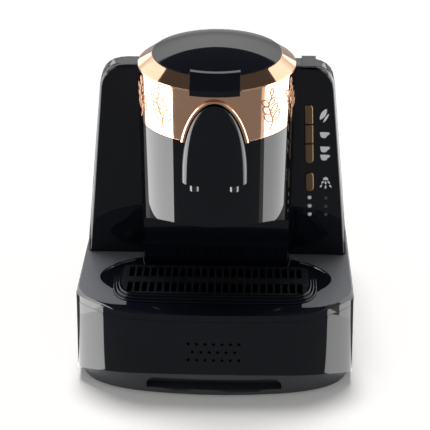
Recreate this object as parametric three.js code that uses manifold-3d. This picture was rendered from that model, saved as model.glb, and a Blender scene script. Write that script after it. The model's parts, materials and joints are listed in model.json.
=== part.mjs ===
// Electric turkish coffee maker with a round brewing head over a cup tray.
// Millimetres, +Z up, front towards -Y, origin on the table under the middle of the body.

import * as THREE from 'three';
import { mergeVertices } from 'three/addons/utils/BufferGeometryUtils.js';
import Module from 'manifold-3d';

const wasm = await Module();
wasm.setup();

// Steps round the drum and its outer pieces, and round what it holds
const roundSteps = 40;
const innerSteps = 24;
const smallSteps = 8;
const pinSteps = 16;

// Fits shared by all pieces
const seat = 0.3;
const slip = 0.5;
const overrun = 6;
const leastRadius = 1;

// Base body
const bodyWidth = 269;
const bodyFlare = 2.5;
const bodyDepth = 284;
const deckHeight = 101;
const cornerWidth = 56;
const cornerDepth = 38;
const cornerCutWidthShare = 0.71;
const cornerCutDepthShare = 0.87;
const frontBow = 3.4;
const rearRadius = 24;
const housingWall = 3;

// Feet and screws
const footHeight = 3;
const footRadius = 9;
const footStemRadius = 3;
const footInset = 27;
const footSetback = 52;
const screwHeadRadius = 4;
const screwHeadHeight = 1.8;
const screwRadius = 1.6;
const screwLength = 14;
const screwSetback = 102;
const screwSpan = 130;
const bossWall = 3.1;
const bossBite = 1;

// Plinth
const plinthLip = 2;
const noseRise = 27.5;
const noseSlopeShare = 0.515;
const plinthTuck = 8.1;
const plinthSideTuck = 1;
const plinthReveal = 0.5;
const plinthBow = 4;
const plinthCornerWidth = 71;
const plinthCornerDepth = 64;
const plinthWall = 3;
const gripWidth = 130;
const gripHeight = 15;
const gripSill = 7;
const gripDepth = 12;
const gripRadius = 10;

// Speaker vent in the front of the base
const ventHeightShare = 0.432;
const ventRadius = 1.5;
const ventPitch = 7.95;
const ventRowPitch = 9;
const ventRowCounts = [7, 6, 7];
const speakerShare = 0.407;
const speakerDepth = 8;
const speakerMagnetRadius = 12;
const speakerMagnetDepth = 9;

// Mains board and cord inlet
const boardWidth = 150;
const boardDepth = 90;
const boardThickness = 1.6;
const boardY = 30;
const boardPostRadius = 3.5;
const boardPostHeight = 8;
const boardPostInset = 8;
const transformerSize = 32;
const relaySize = 16;
const inletX = 80;
const inletHeight = 30;
const inletRadius = 7;
const inletBoreRadius = 3.5;
const inletFlange = 3;

// Deck
const rimHeight = 9.5;
const apronDrop = 2.3;
const apronDepth = 15.5;
const deckSideInset = 1.6;
const deckCornerWidth = 44;
const deckCornerDepth = 41.5;
const deckBow = 0.5;
const deckWall = 3;
const dishWidth = 230;
const dishLength = 100;
const dishDepth = 2;
const dishFootShare = 0.93;
const dishY = -76;
const towerPassWidth = 190;
const towerPassDepth = 60;
const towerPassY = 14;

// Drip tray and cup grille
const trayWidth = 194;
const trayFrontSetback = 17;
const trayLength = 67;
const trayCornerWidth = 27;
const trayCornerDepth = 32;
const trayBow = 0.6;
const trayRearRadius = 14;
const trayStep = 2.6;
const trayStepHeight = 2;
const trayFlange = 3.2;
const trayPanInset = 6.6;
const trayPanDepth = 29;
const trayWall = 2;
const wellWall = 2;
const grilleThickness = 3;
const grilleProud = 0.5;
const slotPitch = 7;
const slotWidth = 4.8;
const slotLength = 17;
const slotCount = 24;
const slotMargin = 5.3;
const barRadius = 3;

// Tower
const towerSetback = 112;
const towerHeight = 199;
const flankInset = 1.9;
const flankLeanShare = 0.11;
const edgeFootWidth = 4.5;
const edgeTopWidth = 2.5;
const edgeDepth = 10;
const crestDrop = 2;
const crestDepth = 22;
const roofRoll = 10;
const roofSlopeShare = 0.5;
const shoulderWidth = 24;
const shoulderHeight = 20;
const towerWall = 2.5;
const fasciaDepth = 8;

// Water tank and the roof cap that closes it
const tankSetback = 206.3;
const tankGap = 2.3;
const tankFloor = 3;
const capDropFront = 15;
const capDropRear = 6;
const capEndSetback = 30;
const capRearGap = 3.6;
const capPinSetback = 6;
const capPinDepth = 4;
const capPinRadius = 1.5;
const barrelRadius = 3.2;
const lugX = 46;
const lugWidth = 12;
const lugReach = 8;
const earWidth = 4;
const tabPlaceShare = 0.358;
const tabWidth = 13.3;
const tabLength = 26;
const tabThickness = 1.5;
const tabFrontSetback = 1;
const valveDepthShare = 0.46;
const valveRadius = 7;
const valveFlange = 3;
const valveDrop = 3;
const valveSeatDepth = 18;

// Round brewing head, its column and the bay for the cups
const drumSetback = 108;
const headWidthShare = 0.553;
const columnRise = 156.5;
const columnWall = 3;
const bayOverlap = 3;
const bayHeight = 72;
const bayDepth = 51;
const bayExponent = 4;
const shelfRise = 83.3;
const shelfThickness = 4;
const drumWall = 2.5;
const bandHeight = 49.5;
const bevelRise = 9.5;
const bevelWidth = 13;
const bevelLipWidth = 2;
const bevelLipHeight = 5;
const bevelFootWidth = 5;

// Lid and its hinge
const domeRise = 12.3;
const lidWall = 2.6;
const lidSkirtInset = 4.2;
const lidSkirtDrop = 6.5;
const lidSkirtWall = 2.2;
const tabHalfWidth = 22.3;
const tabDrop = 13;
const tabFaceHeight = 5.5;
const tabReach = 3.3;
const tabRoot = 5;
const hingeSetback = 8;
const hingeDrop = 6.2;
const hingeBarrelRadius = 3;
const hingePinRadius = 1.5;
const hingeArmHalfWidth = 9.5;
const hingeEarWidth = 6;
const hingeBaseDepth = 12.5;
const hingeBaseHeight = 3.7;

// Brewing pot and what heats it
const potGap = 23;
const potWall = 1.5;
const potHeight = 79;
const potFlange = 3;
const potFlangeHeight = 1.5;
const potBottomRise = 27.7;
const collarRise = 12.5;
const collarWall = 2;
const heaterMargin = 5;
const heaterHeight = 6.7;
const heaterHoleRadius = 6;
const sensorLength = 11;
const drumPostRadius = 4;
const drumPostRing = 30;
const drumPostCount = 3;
const potInletX = -20;
const potInletRise = 28;

// Pouring shield, nozzles and the tubes that feed them
const shieldHalfWidth = 29.5;
const shieldBottomDrop = 37.5;
const shieldSpringRise = 8;
const shieldArchHeight = 68;
const noseSetback = 26;
const noseFootRadius = 37;
const noseTopRadius = 31;
const shieldWall = 2.5;
const bezelWidth = 4;
const bezelProud = 3.2;
const nozzleX = 18;
const nozzleRadius = 4.4;
const nozzleBoreRadius = 2.4;
const nozzleLength = 6.7;
const manifoldHeight = 20;
const tubeRise = 12;
const tubeRadius = 3;
const tubeBoreRadius = 2;
const spigotLength = 5;
const spigotWall = 1.5;
const tubeSocket = 0.5;

// Buttons and indicator lamps on the right fascia
const buttonTilt = 2.5;
const buttonPlaceShare = 0.338;
const buttonRise = 132;
const buttonWidth = 7.8;
const buttonRounding = 3.6;
const buttonProud = 1.2;
const buttonTravel = 1.2;
const buttonFlange = 1.6;
const buttonFlangeDepth = 1.2;
const buttonGap = 0.9;
const buttonHeights = [19.5, 19.2, 20.1];
const rinseHeight = 20.1;
const rinseGap = 10.2;
const lampRadius = 2;
const lampPitch = 9.15;
const lampGap = 7.1;
const lampCount = 3;
const lampProud = 0.3;
const controlWidthShare = 0.563;
const controlThickness = 1.6;
const controlMargin = 6;
const switchSize = 6;

// Pump and hoses
const pumpRadius = 18;
const pumpX = -20;
const pumpSetback = 162;
const pumpRise = 19;
const pumpHeight = 50;
const pumpBracketWidth = 20;
const hoseRadius = 4;
const hoseBoreRadius = 2.4;

// Heights and edges that follow from the sizes above
const sideX = bodyWidth / 2 - bodyFlare;
const frontY = -bodyDepth / 2;
const rearY = bodyDepth / 2;
const skirtZ = footHeight + plinthLip;
const seamZ = deckHeight - rimHeight;
const noseEndY = frontY + noseRise / noseSlopeShare;
const floorZ = footHeight + plinthWall;
const housingSpan = seamZ - skirtZ - noseRise;
const ventHeight = skirtZ + noseRise + ventHeightShare * housingSpan;
const speakerRadius = speakerShare * housingSpan;
const gripBackY = frontY + plinthTuck + gripDepth;
const dishZ = deckHeight - dishDepth;
const trayFrontY = frontY + trayFrontSetback;
const trayRearY = trayFrontY + trayLength;
const trayZ = dishZ + seat;

// Tower planes
const towerFrontY = frontY + towerSetback;
const towerRearY = rearY - flankInset;
const towerTopZ = deckHeight + towerHeight;
const towerFootZ = deckHeight + seat;
const partY = towerFrontY + fasciaDepth;
const tankFrontY = frontY + tankSetback;
const housingRearY = tankFrontY - tankGap;
const capEndY = rearY - capEndSetback;
const capPinY = capEndY + capPinSetback;
const valveY = tankFrontY + valveDepthShare * (rearY - tankFrontY);

const pumpY = frontY + pumpSetback;

// Rounds and heights of the brewing head
const drumY = frontY + drumSetback;
const headRadius = headWidthShare * sideX;
const bayHalfWidth = headRadius + bayOverlap;
const potRadius = headRadius - potGap;
const heaterRadius = potRadius - heaterMargin;
const noseCentre = headRadius - noseSetback;
const columnTopZ = deckHeight + columnRise - seat;
const bandZ = deckHeight + columnRise;
const bandTopZ = bandZ + bandHeight;
const bevelZ = bandTopZ + seat;
const mouthZ = bandTopZ + bevelRise;
const mouthRadius = headRadius - bevelWidth;
const shelfZ = deckHeight + shelfRise - seat;
const drumFloorZ = shelfZ + seat;
const drumRadius = headRadius - columnWall - seat;
const potZ = drumFloorZ + potBottomRise;
const potTopZ = potZ + potHeight;
const heaterZ = potZ - seat - heaterHeight;
const lidZ = mouthZ + seat;
const lidTopZ = mouthZ + domeRise;
const hingeY = headRadius - hingeSetback;
const hingeZ = mouthZ - hingeDrop;
const shieldZ = bandZ - shieldBottomDrop;
const tubeZ = shieldZ + tubeRise;
const clearRadius = headRadius + seat;

// Turns a three.js geometry into a manifold solid.
function toSolid(geometry) {
  const bare = geometry.clone();
  bare.deleteAttribute('normal');
  bare.deleteAttribute('uv');
  const merged = mergeVertices(bare, 1e-4);
  const index = Array.from(merged.index.array);
  const corners = [];
  for (let i = 0; i < index.length; i += 3) {
    const [a, b, c] = index.slice(i, i + 3);
    if (a !== b && b !== c && c !== a) corners.push(a, b, c);
  }
  const vertProperties = new Float32Array(merged.attributes.position.array);
  const triVerts = new Uint32Array(corners);
  return new wasm.Manifold(new wasm.Mesh({ numProp: 3, vertProperties, triVerts }));
}

function toGeometry(solid) {
  const mesh = solid.getMesh();
  const geometry = new THREE.BufferGeometry();
  geometry.setAttribute('position', new THREE.BufferAttribute(mesh.vertProperties, 3));
  geometry.setIndex(new THREE.BufferAttribute(mesh.triVerts, 1));
  return geometry;
}

function union(solids) {
  return solids.reduce((sum, solid) => sum.add(solid));
}

function block(x0, x1, y0, y1, z0, z1) {
  const box = new THREE.BoxGeometry(x1 - x0, y1 - y0, z1 - z0);
  return toSolid(box.translate((x0 + x1) / 2, (y0 + y1) / 2, (z0 + z1) / 2));
}

// Upright round bar.
function post(x, y, radius, z0, z1, sides = 12) {
  const bar = new THREE.CylinderGeometry(radius, radius, z1 - z0, sides).rotateX(Math.PI / 2);
  return toSolid(bar.translate(x, y, (z0 + z1) / 2));
}

// Round bar that runs from front to rear.
function rodY(x, z, radius, y0, y1, sides = 12) {
  const bar = new THREE.CylinderGeometry(radius, radius, y1 - y0, sides);
  return toSolid(bar.translate(x, (y0 + y1) / 2, z));
}

// Round bar that runs from left to right.
function rodX(y, z, radius, x0, x1, sides = 12) {
  const bar = new THREE.CylinderGeometry(radius, radius, x1 - x0, sides).rotateZ(Math.PI / 2);
  return toSolid(bar.translate((x0 + x1) / 2, y, z));
}

// Turned piece about the Z axis, from a profile of [radius, height] pairs.
function turned(profile, steps = roundSteps) {
  const points = profile.map(([radius, height]) => new THREE.Vector2(radius, height));
  return toSolid(new THREE.LatheGeometry(points, steps).rotateX(Math.PI / 2));
}

// Plate seen from above, between two heights.
function slab(shape, z0, z1, curveSegments = 6) {
  const options = { depth: z1 - z0, bevelEnabled: false, curveSegments };
  return toSolid(new THREE.ExtrudeGeometry(shape, options).translate(0, 0, z0));
}

// Plate seen from the front, its shape in X and Z, between two depths.
function plateY(shape, y0, y1, curveSegments = 6) {
  const options = { depth: y1 - y0, bevelEnabled: false, curveSegments };
  return toSolid(new THREE.ExtrudeGeometry(shape, options).rotateX(Math.PI / 2).translate(0, y1, 0));
}

// Plate seen from the side, its shape in Y and Z, between two places across the width.
function plateX(shape, x0, x1, curveSegments = 6) {
  const options = { depth: x1 - x0, bevelEnabled: false, curveSegments };
  const plate = new THREE.ExtrudeGeometry(shape, options).rotateX(Math.PI / 2).rotateZ(Math.PI / 2);
  return toSolid(plate.translate(x0, 0, 0));
}

function polygon(points) {
  return new THREE.Shape(points.map(([x, y]) => new THREE.Vector2(x, y)));
}

// Skin through rings of points that run anticlockwise, seen from where the rings lead to.
function loft(rings) {
  const count = rings[0].length;
  const vertices = rings.flat();
  const index = [];
  for (let ring = 0; ring + 1 < rings.length; ring++) {
    for (let i = 0; i < count; i++) {
      const a = ring * count + i;
      const b = ring * count + (i + 1) % count;
      index.push(a, b, b + count, a, b + count, a + count);
    }
  }
  const last = (rings.length - 1) * count;
  for (let i = 0; i < count; i++) {
    const next = (i + 1) % count;
    index.push(vertices.length, next, i);
    index.push(vertices.length + 1, last + i, last + next);
  }
  const middle = (ring) => ring.reduce((sum, p) => sum.add(p), new THREE.Vector3()).divideScalar(count);
  const all = [...vertices, middle(rings[0]), middle(rings.at(-1))];
  const geometry = new THREE.BufferGeometry().setFromPoints(all);
  return toSolid(geometry.setIndex(index));
}

// Outline from above: straight sides, cut front corners with soft ends, a bowed front and round
// rear corners. The cut shares say how far along its width and depth a corner's cut starts.
function planOutline({ side, front, rear, width, depth, bow, radius, cutWidth = 1 / 2, cutDepth = 1 / 2 }) {
  const shoulder = side - width;
  const sideCutY = front + bow + cutDepth * (depth - bow);
  const frontCutX = side - cutWidth * width;
  const frontCutY = front + bow + (frontCutX - shoulder) * 2 * bow / shoulder;
  const middleX = (side + frontCutX) / 2;
  const middleY = (sideCutY + frontCutY) / 2;
  const shape = new THREE.Shape();
  shape.moveTo(side, front + depth);
  shape.lineTo(side, rear - radius);
  shape.absarc(side - radius, rear - radius, radius, 0, Math.PI / 2);
  shape.lineTo(radius - side, rear);
  shape.absarc(radius - side, rear - radius, radius, Math.PI / 2, Math.PI);
  shape.lineTo(-side, front + depth);
  shape.quadraticCurveTo(-side, sideCutY, -middleX, middleY);
  shape.quadraticCurveTo(-frontCutX, frontCutY, -shoulder, front + bow);
  shape.quadraticCurveTo(0, front - bow, shoulder, front + bow);
  shape.quadraticCurveTo(frontCutX, frontCutY, middleX, middleY);
  shape.quadraticCurveTo(side, sideCutY, side, front + depth);
  return shape;
}

function ringOf(shape, z, divisions = 5) {
  return shape.getPoints(divisions).slice(0, -1).map((p) => new THREE.Vector3(p.x, p.y, z));
}

function bodyOutline(inset, flare = 0) {
  return planOutline({
    side: sideX + flare - inset,
    front: frontY + inset,
    rear: rearY - inset,
    width: cornerWidth + flare - inset,
    depth: cornerDepth - inset,
    bow: frontBow,
    radius: Math.max(rearRadius - inset, leastRadius),
    cutWidth: cornerCutWidthShare,
    cutDepth: cornerCutDepthShare,
  });
}

// How far the sides of the housing stand out at a height, from none at the seam to all at the skirt
const flareAt = (z) => bodyFlare * (seamZ - z) / (seamZ - skirtZ);

function plinthOutline(inset) {
  return planOutline({
    side: sideX + bodyFlare - plinthSideTuck - inset,
    front: frontY + plinthTuck + inset,
    rear: rearY - plinthSideTuck - inset,
    width: plinthCornerWidth - inset,
    depth: plinthCornerDepth - inset,
    bow: plinthBow,
    radius: Math.max(rearRadius - inset, leastRadius),
  });
}

function deckOutline(inset) {
  return planOutline({
    side: sideX - deckSideInset - inset,
    front: frontY + apronDepth + inset,
    rear: rearY - deckSideInset - inset,
    width: deckCornerWidth - inset,
    depth: deckCornerDepth - inset,
    bow: deckBow,
    radius: Math.max(rearRadius - inset, leastRadius),
  });
}

function trayOutline(inset) {
  return planOutline({
    side: trayWidth / 2 - inset,
    front: trayFrontY + inset,
    rear: trayRearY - inset,
    width: trayCornerWidth - inset,
    depth: trayCornerDepth - inset,
    bow: trayBow,
    radius: Math.max(trayRearRadius - inset, leastRadius),
  });
}

// Everything under the lower edge of the housing, which climbs towards the front.
function underNose(drop) {
  const low = skirtZ - drop;
  const ahead = frontY - overrun;
  const behind = rearY + overrun;
  const frontEdge = low + noseRise + noseSlopeShare * overrun;
  const side = [[ahead, -overrun], [behind, -overrun], [behind, low], [noseEndY, low], [ahead, frontEdge]];
  return plateX(polygon(side), -bodyWidth / 2 - overrun, bodyWidth / 2 + overrun);
}

// Finishes of the visible and inner materials
const finishes = {
  gloss: { color: 0x1c1e22, roughness: 0.12, metalness: 0 },
  satin: { color: 0x24262a, roughness: 0.4, metalness: 0 },
  grey: { color: 0x55585c, roughness: 0.35, metalness: 0.1 },
  copper: { color: 0xb07f62, roughness: 0.15, metalness: 1 },
  bronze: { color: 0x5c4a35, roughness: 0.35, metalness: 0.8 },
  steel: { color: 0xb9bcc0, roughness: 0.3, metalness: 1 },
  white: { color: 0xf2f4f5, roughness: 0.4, metalness: 0 },
  smoke: { color: 0x2b2f36, roughness: 0.1, metalness: 0 },
  rubber: { color: 0x17181a, roughness: 0.8, metalness: 0 },
  board: { color: 0x1f5a3a, roughness: 0.6, metalness: 0 },
  hose: { color: 0xe6e8e6, roughness: 0.5, metalness: 0 },
};

const machine = new THREE.Group();

function addPiece(parent, name, solid, finish, x = 0, y = 0, z = 0) {
  const mesh = new THREE.Mesh(toGeometry(solid), new THREE.MeshStandardMaterial(finishes[finish]));
  mesh.name = name;
  mesh.position.set(x, y, z);
  parent.add(mesh);
}

// Places where the bottom screws go up into bosses of the housing
const bossRadius = screwRadius + bossWall;
const bossX = sideX + flareAt(floorZ + screwLength) - housingWall - bossRadius + bossBite;
const screwYs = [frontY + screwSetback, frontY + screwSetback + screwSpan];
const screwPlaces = screwYs.flatMap((y) => [[-bossX, y], [bossX, y]]);
const footX = sideX - footInset;
const footYs = [frontY + footSetback, rearY - footInset];
const footPlaces = footYs.flatMap((y) => [[-footX, y], [footX, y]]);

// Posts under the corners of the mains board
const boardPostX = boardWidth / 2 - boardPostInset;
const boardPostY = boardDepth / 2 - boardPostInset;
const boardPosts = [-1, 1].flatMap((i) => [-1, 1].map((j) => [i * boardPostX, boardY + j * boardPostY]));
const boardZ = floorZ + boardPostHeight + seat;

// Plinth: an open tray with a low front wall and a finger recess under the front
function makePlinth() {
  const noseZ = skirtZ + noseRise;
  const flare = flareAt(noseZ);
  const hull = loft([ringOf(plinthOutline(0), footHeight), ringOf(bodyOutline(plinthReveal, flare), noseZ)]);
  const inset = housingWall + slip;
  const inner = plinthWall + plinthReveal;
  const hollow = loft([ringOf(plinthOutline(inner), floorZ), ringOf(bodyOutline(inner, flare), noseZ)]);
  const gripTop = footHeight + gripSill + gripHeight;
  const gripSide = gripWidth / 2 + plinthWall;
  const gripBox = block(-gripSide, gripSide, frontY, gripBackY + plinthWall, 0, gripTop + plinthWall);
  const grip = new THREE.Shape();
  const low = footHeight + gripSill;
  const half = gripWidth / 2;
  grip.moveTo(-half, low);
  grip.lineTo(half, low);
  grip.lineTo(half, gripTop - gripRadius);
  grip.absarc(half - gripRadius, gripTop - gripRadius, gripRadius, 0, Math.PI / 2);
  grip.lineTo(gripRadius - half, gripTop);
  grip.absarc(gripRadius - half, gripTop - gripRadius, gripRadius, Math.PI / 2, Math.PI);
  const pocket = plateY(grip, frontY - overrun, gripBackY).intersect(underNose(seat + plinthWall));
  const shellWall = hull.intersect(underNose(seat)).subtract(hollow.subtract(gripBox)).subtract(pocket);
  const floor = slab(bodyOutline(inset, bodyFlare), footHeight, floorZ).subtract(underNose(0).subtract(
    block(-bodyWidth / 2, bodyWidth / 2, noseEndY, rearY, 0, floorZ),
  ));
  const posts = boardPosts.map(([x, y]) => {
    return post(x, y, boardPostRadius, footHeight + plinthWall / 2, floorZ + boardPostHeight, smallSteps);
  });
  const holes = [
    ...screwPlaces.map(([x, y]) => post(x, y, screwRadius + slip, 0, floorZ + overrun, smallSteps)),
    ...footPlaces.map(([x, y]) => post(x, y, footStemRadius + seat, 0, floorZ + overrun, smallSteps)),
  ];
  return union([shellWall, floor, ...posts]).subtract(union(holes));
}

// Foot: a rubber disc whose stem plugs into the plinth
function makeFoot() {
  const disc = post(0, 0, footRadius, 0, footHeight - seat);
  return disc.add(post(0, 0, footStemRadius, footHeight / 2, floorZ, smallSteps));
}

// Base housing: one wall round the machine, its lower edge rising at the front
function makeHousing() {
  const top = seamZ - seat;
  const shell = (inset, z0, z1) => loft([
    ringOf(bodyOutline(inset, flareAt(z0)), z0), ringOf(bodyOutline(inset, flareAt(z1)), z1),
  ]);
  const wall = shell(0, skirtZ, top).subtract(shell(housingWall, 0, top + overrun));
  const bossFoot = floorZ + seat;
  const bossTop = bossFoot + screwLength;
  const bosses = screwPlaces.map(([x, y]) => {
    const hole = post(x, y, screwRadius + seat, 0, bossTop - bossWall, smallSteps);
    return post(x, y, bossRadius, bossFoot, bossTop).subtract(hole);
  });
  const vents = ventRowCounts.flatMap((count, row) => {
    const z = ventHeight + (row - (ventRowCounts.length - 1) / 2) * ventRowPitch;
    return Array.from({ length: count }, (_, i) => {
      const x = (i - (count - 1) / 2) * ventPitch;
      return rodY(x, z, ventRadius, frontY - overrun, frontY + housingWall + overrun, smallSteps);
    });
  });
  const inside = rearY - housingWall - overrun;
  const inlet = rodY(-inletX, inletHeight, inletRadius + seat, inside, rearY + overrun);
  return union([wall, ...bosses]).subtract(underNose(0).intersect(
    block(-bodyWidth / 2 - overrun, bodyWidth / 2 + overrun, frontY - overrun, noseEndY, 0, deckHeight),
  )).subtract(union([...vents, inlet]));
}

// Screw from below: pan head and plain shank
function makeScrew() {
  const headTop = footHeight - seat;
  const head = post(0, 0, screwHeadRadius, headTop - screwHeadHeight, headTop);
  const shankFoot = headTop - screwHeadHeight / 2;
  return head.add(post(0, 0, screwRadius, shankFoot, floorZ + screwLength / 2, smallSteps));
}

// Speaker: a shallow basket with a magnet behind it
function makeSpeaker() {
  const front = frontY + housingWall + frontBow * (speakerRadius / (sideX - cornerWidth)) ** 2 + seat;
  const basket = rodY(0, 0, speakerRadius, front, front + speakerDepth, 32);
  const back = front + speakerDepth + speakerMagnetDepth;
  return basket.add(rodY(0, 0, speakerMagnetRadius, front + speakerDepth / 2, back));
}

// Mains board with its transformer and two relays
function makePowerBoard() {
  const x = boardWidth / 2;
  const y = boardDepth / 2;
  const board = block(-x, x, -y, y, 0, boardThickness);
  const half = transformerSize / 2;
  const foot = boardThickness / 2;
  const transformer = block(-half, half, -half, half, foot, transformerSize);
  const side = relaySize / 2;
  const relay = (place) => block(place - side, place + side, -side, side, foot, relaySize);
  return union([board, transformer, relay(-x / 2 - half / 2), relay(x / 2 + half / 2)]);
}

// Bush that the mains cord would enter through
function makeInlet() {
  const inside = rearY - housingWall - seat;
  const barrel = rodY(0, 0, inletRadius, inside - inletFlange / 2, rearY);
  const flange = rodY(0, 0, inletRadius + inletFlange, inside - inletFlange, inside);
  return barrel.add(flange).subtract(rodY(0, 0, inletBoreRadius, inside - overrun, rearY + overrun));
}

// Deck cover: a top with a sloping apron, a shallow dish and a well for the drip tray
function makeDeck() {
  const outer = loft([
    ringOf(bodyOutline(0), seamZ),
    ringOf(bodyOutline(0), deckHeight - apronDrop),
    ringOf(deckOutline(0), deckHeight),
  ]);
  const pocketZ = dishZ - deckWall;
  const pocket = slab(bodyOutline(housingWall), seamZ - overrun, pocketZ);
  const dish = new THREE.CylinderGeometry(1, dishFootShare, dishDepth + overrun, 48).rotateX(Math.PI / 2);
  dish.scale(dishWidth / 2, dishLength / 2, 1).translate(0, dishY, dishZ + (dishDepth + overrun) / 2);
  const columnFoot = post(0, drumY, headRadius + slip, 0, deckHeight, 48).intersect(
    block(-sideX, sideX, drumY - headRadius + bayDepth - slip, rearY, 0, deckHeight),
  );
  const wellZ = trayZ - trayPanDepth - slip;
  const well = slab(trayOutline(trayPanInset - slip - wellWall), wellZ - wellWall, dishZ);
  const opening = slab(trayOutline(trayPanInset - slip), wellZ, deckHeight + overrun);
  const recess = slab(trayOutline(-slip), dishZ, deckHeight + overrun);
  const passX = towerPassWidth / 2;
  const passY = towerPassDepth / 2;
  const pass = block(-passX, passX, towerPassY - passY, towerPassY + passY, 0, deckHeight + overrun);
  const valve = post(0, valveY, valveRadius + seat, 0, deckHeight + overrun);
  return outer.subtract(pocket).subtract(toSolid(dish).subtract(columnFoot)).add(well).subtract(
    union([opening, recess, pass, valve]),
  );
}

// Drip tray: a pan that hangs in the well from a rim of three steps
const stepInsets = [0, trayStep, 2 * trayStep];
const rimZ = trayZ + trayFlange + (stepInsets.length - 1) * trayStepHeight;
const grilleZ = rimZ + grilleProud - grilleThickness;
const grilleInset = stepInsets.at(-1) + trayWall;
function makeTray() {
  const pan = slab(trayOutline(trayPanInset), trayZ - trayPanDepth, trayZ + trayFlange / 2);
  const steps = stepInsets.map((inset, i) => {
    return slab(trayOutline(inset), trayZ, trayZ + trayFlange + i * trayStepHeight);
  });
  const cavity = slab(trayOutline(trayPanInset + trayWall), trayZ - trayPanDepth + trayWall, rimZ + overrun);
  const ledge = slab(trayOutline(grilleInset), grilleZ - seat, rimZ + overrun);
  return union([pan, ...steps]).subtract(cavity.add(ledge));
}

// Cup grille: a plate with two rows of slots and a plain bar between them
const barY = trayFrontY + trayLength / 2;
function makeGrille() {
  const plate = slab(trayOutline(grilleInset + seat), grilleZ, grilleZ + grilleThickness);
  const slots = [-1, 1].flatMap((side) => Array.from({ length: slotCount }, (_, i) => {
    const x = (i - (slotCount - 1) / 2) * slotPitch;
    const near = barY + side * slotMargin;
    const far = near + side * slotLength;
    const half = slotWidth / 2;
    return block(x - half, x + half, Math.min(near, far), Math.max(near, far), 0, rimZ + overrun);
  }));
  return plate.subtract(union(slots));
}

// Tower surfaces: flanks that lean in, a roof that falls to the rear, and rolled edges
const flankX = (z) => sideX - flankInset - flankLeanShare * (z - deckHeight);
const edgeWidth = (z) => {
  const share = (z - deckHeight) / towerHeight;
  return edgeFootWidth + (edgeTopWidth - edgeFootWidth) * share;
};
const buttonZ = deckHeight + buttonRise;
const buttonX = headRadius + buttonPlaceShare * (flankX(buttonZ) - headRadius);
const controlWidth = controlWidthShare * (flankX(buttonZ) - headRadius);
const tabX = headRadius + tabPlaceShare * (flankX(towerTopZ) - headRadius);
function roofZ(y) {
  const behind = y - towerFrontY - crestDepth;
  if (behind <= 0) return towerTopZ;
  if (behind < roofRoll) return towerTopZ - roofSlopeShare * behind * behind / (2 * roofRoll);
  return towerTopZ - roofSlopeShare * (behind - roofRoll / 2);
}
function rollShare(depth, size) {
  if (depth >= size) return 0;
  const rest = 1 - Math.max(depth, 0) / size;
  return 1 - Math.sqrt(1 - rest * rest);
}
const edgeShares = [0, 0.1, 0.3, 0.6, 1];
const rearShares = [1, 0.6, 0.3, 0.1, 0.02, 0];

function towerSection(y, inset, floor) {
  const rearSize = Math.max(rearRadius - inset, leastRadius);
  const front = rollShare(y - towerFrontY - inset, edgeDepth);
  const rear = rollShare(towerRearY - inset - y, rearSize) * rearSize;
  const top = roofZ(y) - inset - front * crestDrop - rear;
  const half = (z) => flankX(z) - inset - front * edgeWidth(z) - rear;
  const low = top - shoulderHeight;
  const curve = new THREE.QuadraticBezierCurve(
    new THREE.Vector2(-half(low), low),
    new THREE.Vector2(-half(top), top),
    new THREE.Vector2(shoulderWidth - half(top), top),
  );
  const left = [new THREE.Vector2(-half(floor), floor), ...curve.getPoints(6)];
  const right = left.map((p) => new THREE.Vector2(-p.x, p.y)).reverse();
  return [...left, ...right].map((p) => new THREE.Vector3(p.x, y, p.y));
}

function towerSolid(inset, floor) {
  const front = towerFrontY + inset;
  const rear = towerRearY - inset;
  const crest = towerFrontY + crestDepth;
  const rearSize = Math.max(rearRadius - inset, leastRadius);
  const places = [
    ...edgeShares.map((share) => front + share * edgeDepth),
    crest, crest + roofRoll / 2, crest + roofRoll,
    ...rearShares.map((share) => rear - share * rearSize),
  ].sort((a, b) => a - b);
  const ys = places.filter((y, i) => !i || y > places[i - 1]);
  return loft(ys.map((y) => towerSection(y, inset, floor)));
}

function slice(y0, y1) {
  return block(-sideX, sideX, y0, y1, deckHeight - overrun, towerTopZ + overrun);
}

// Everything above the parting line between the roof cap and what it closes
function aboveParting(lift) {
  const crest = towerFrontY + crestDepth;
  const drop = (y) => {
    const share = Math.min(Math.max((y - partY) / (capEndY - partY), 0), 1);
    return capDropFront + (capDropRear - capDropFront) * share;
  };
  const line = [partY, crest, crest + roofRoll / 2, crest + roofRoll, capEndY, rearY];
  const below = line.map((y) => [y, roofZ(y) - drop(y) + lift]);
  const ahead = [partY - overrun, below[0][1]];
  const top = towerTopZ + overrun;
  return plateX(polygon([ahead, ...below, [rearY, top], [partY - overrun, top]]), -sideX, sideX);
}

const drumBore = (radius, z0) => post(0, drumY, radius, z0, towerTopZ + overrun, roundSteps);

// Middle of the tower: walls and a roof under the cap, bored for the drum
function makeTowerHousing() {
  const front = partY + seat;
  const below = (drop) => aboveParting(-drop);
  const outer = towerSolid(0, towerFootZ).intersect(slice(front, housingRearY)).subtract(below(seat));
  const inner = towerSolid(towerWall, towerFootZ - overrun).intersect(
    slice(front + towerWall, housingRearY - towerWall),
  ).subtract(below(seat + towerWall));
  return outer.subtract(inner).subtract(drumBore(headRadius + slip, drumFloorZ - seat - shelfThickness));
}

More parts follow.
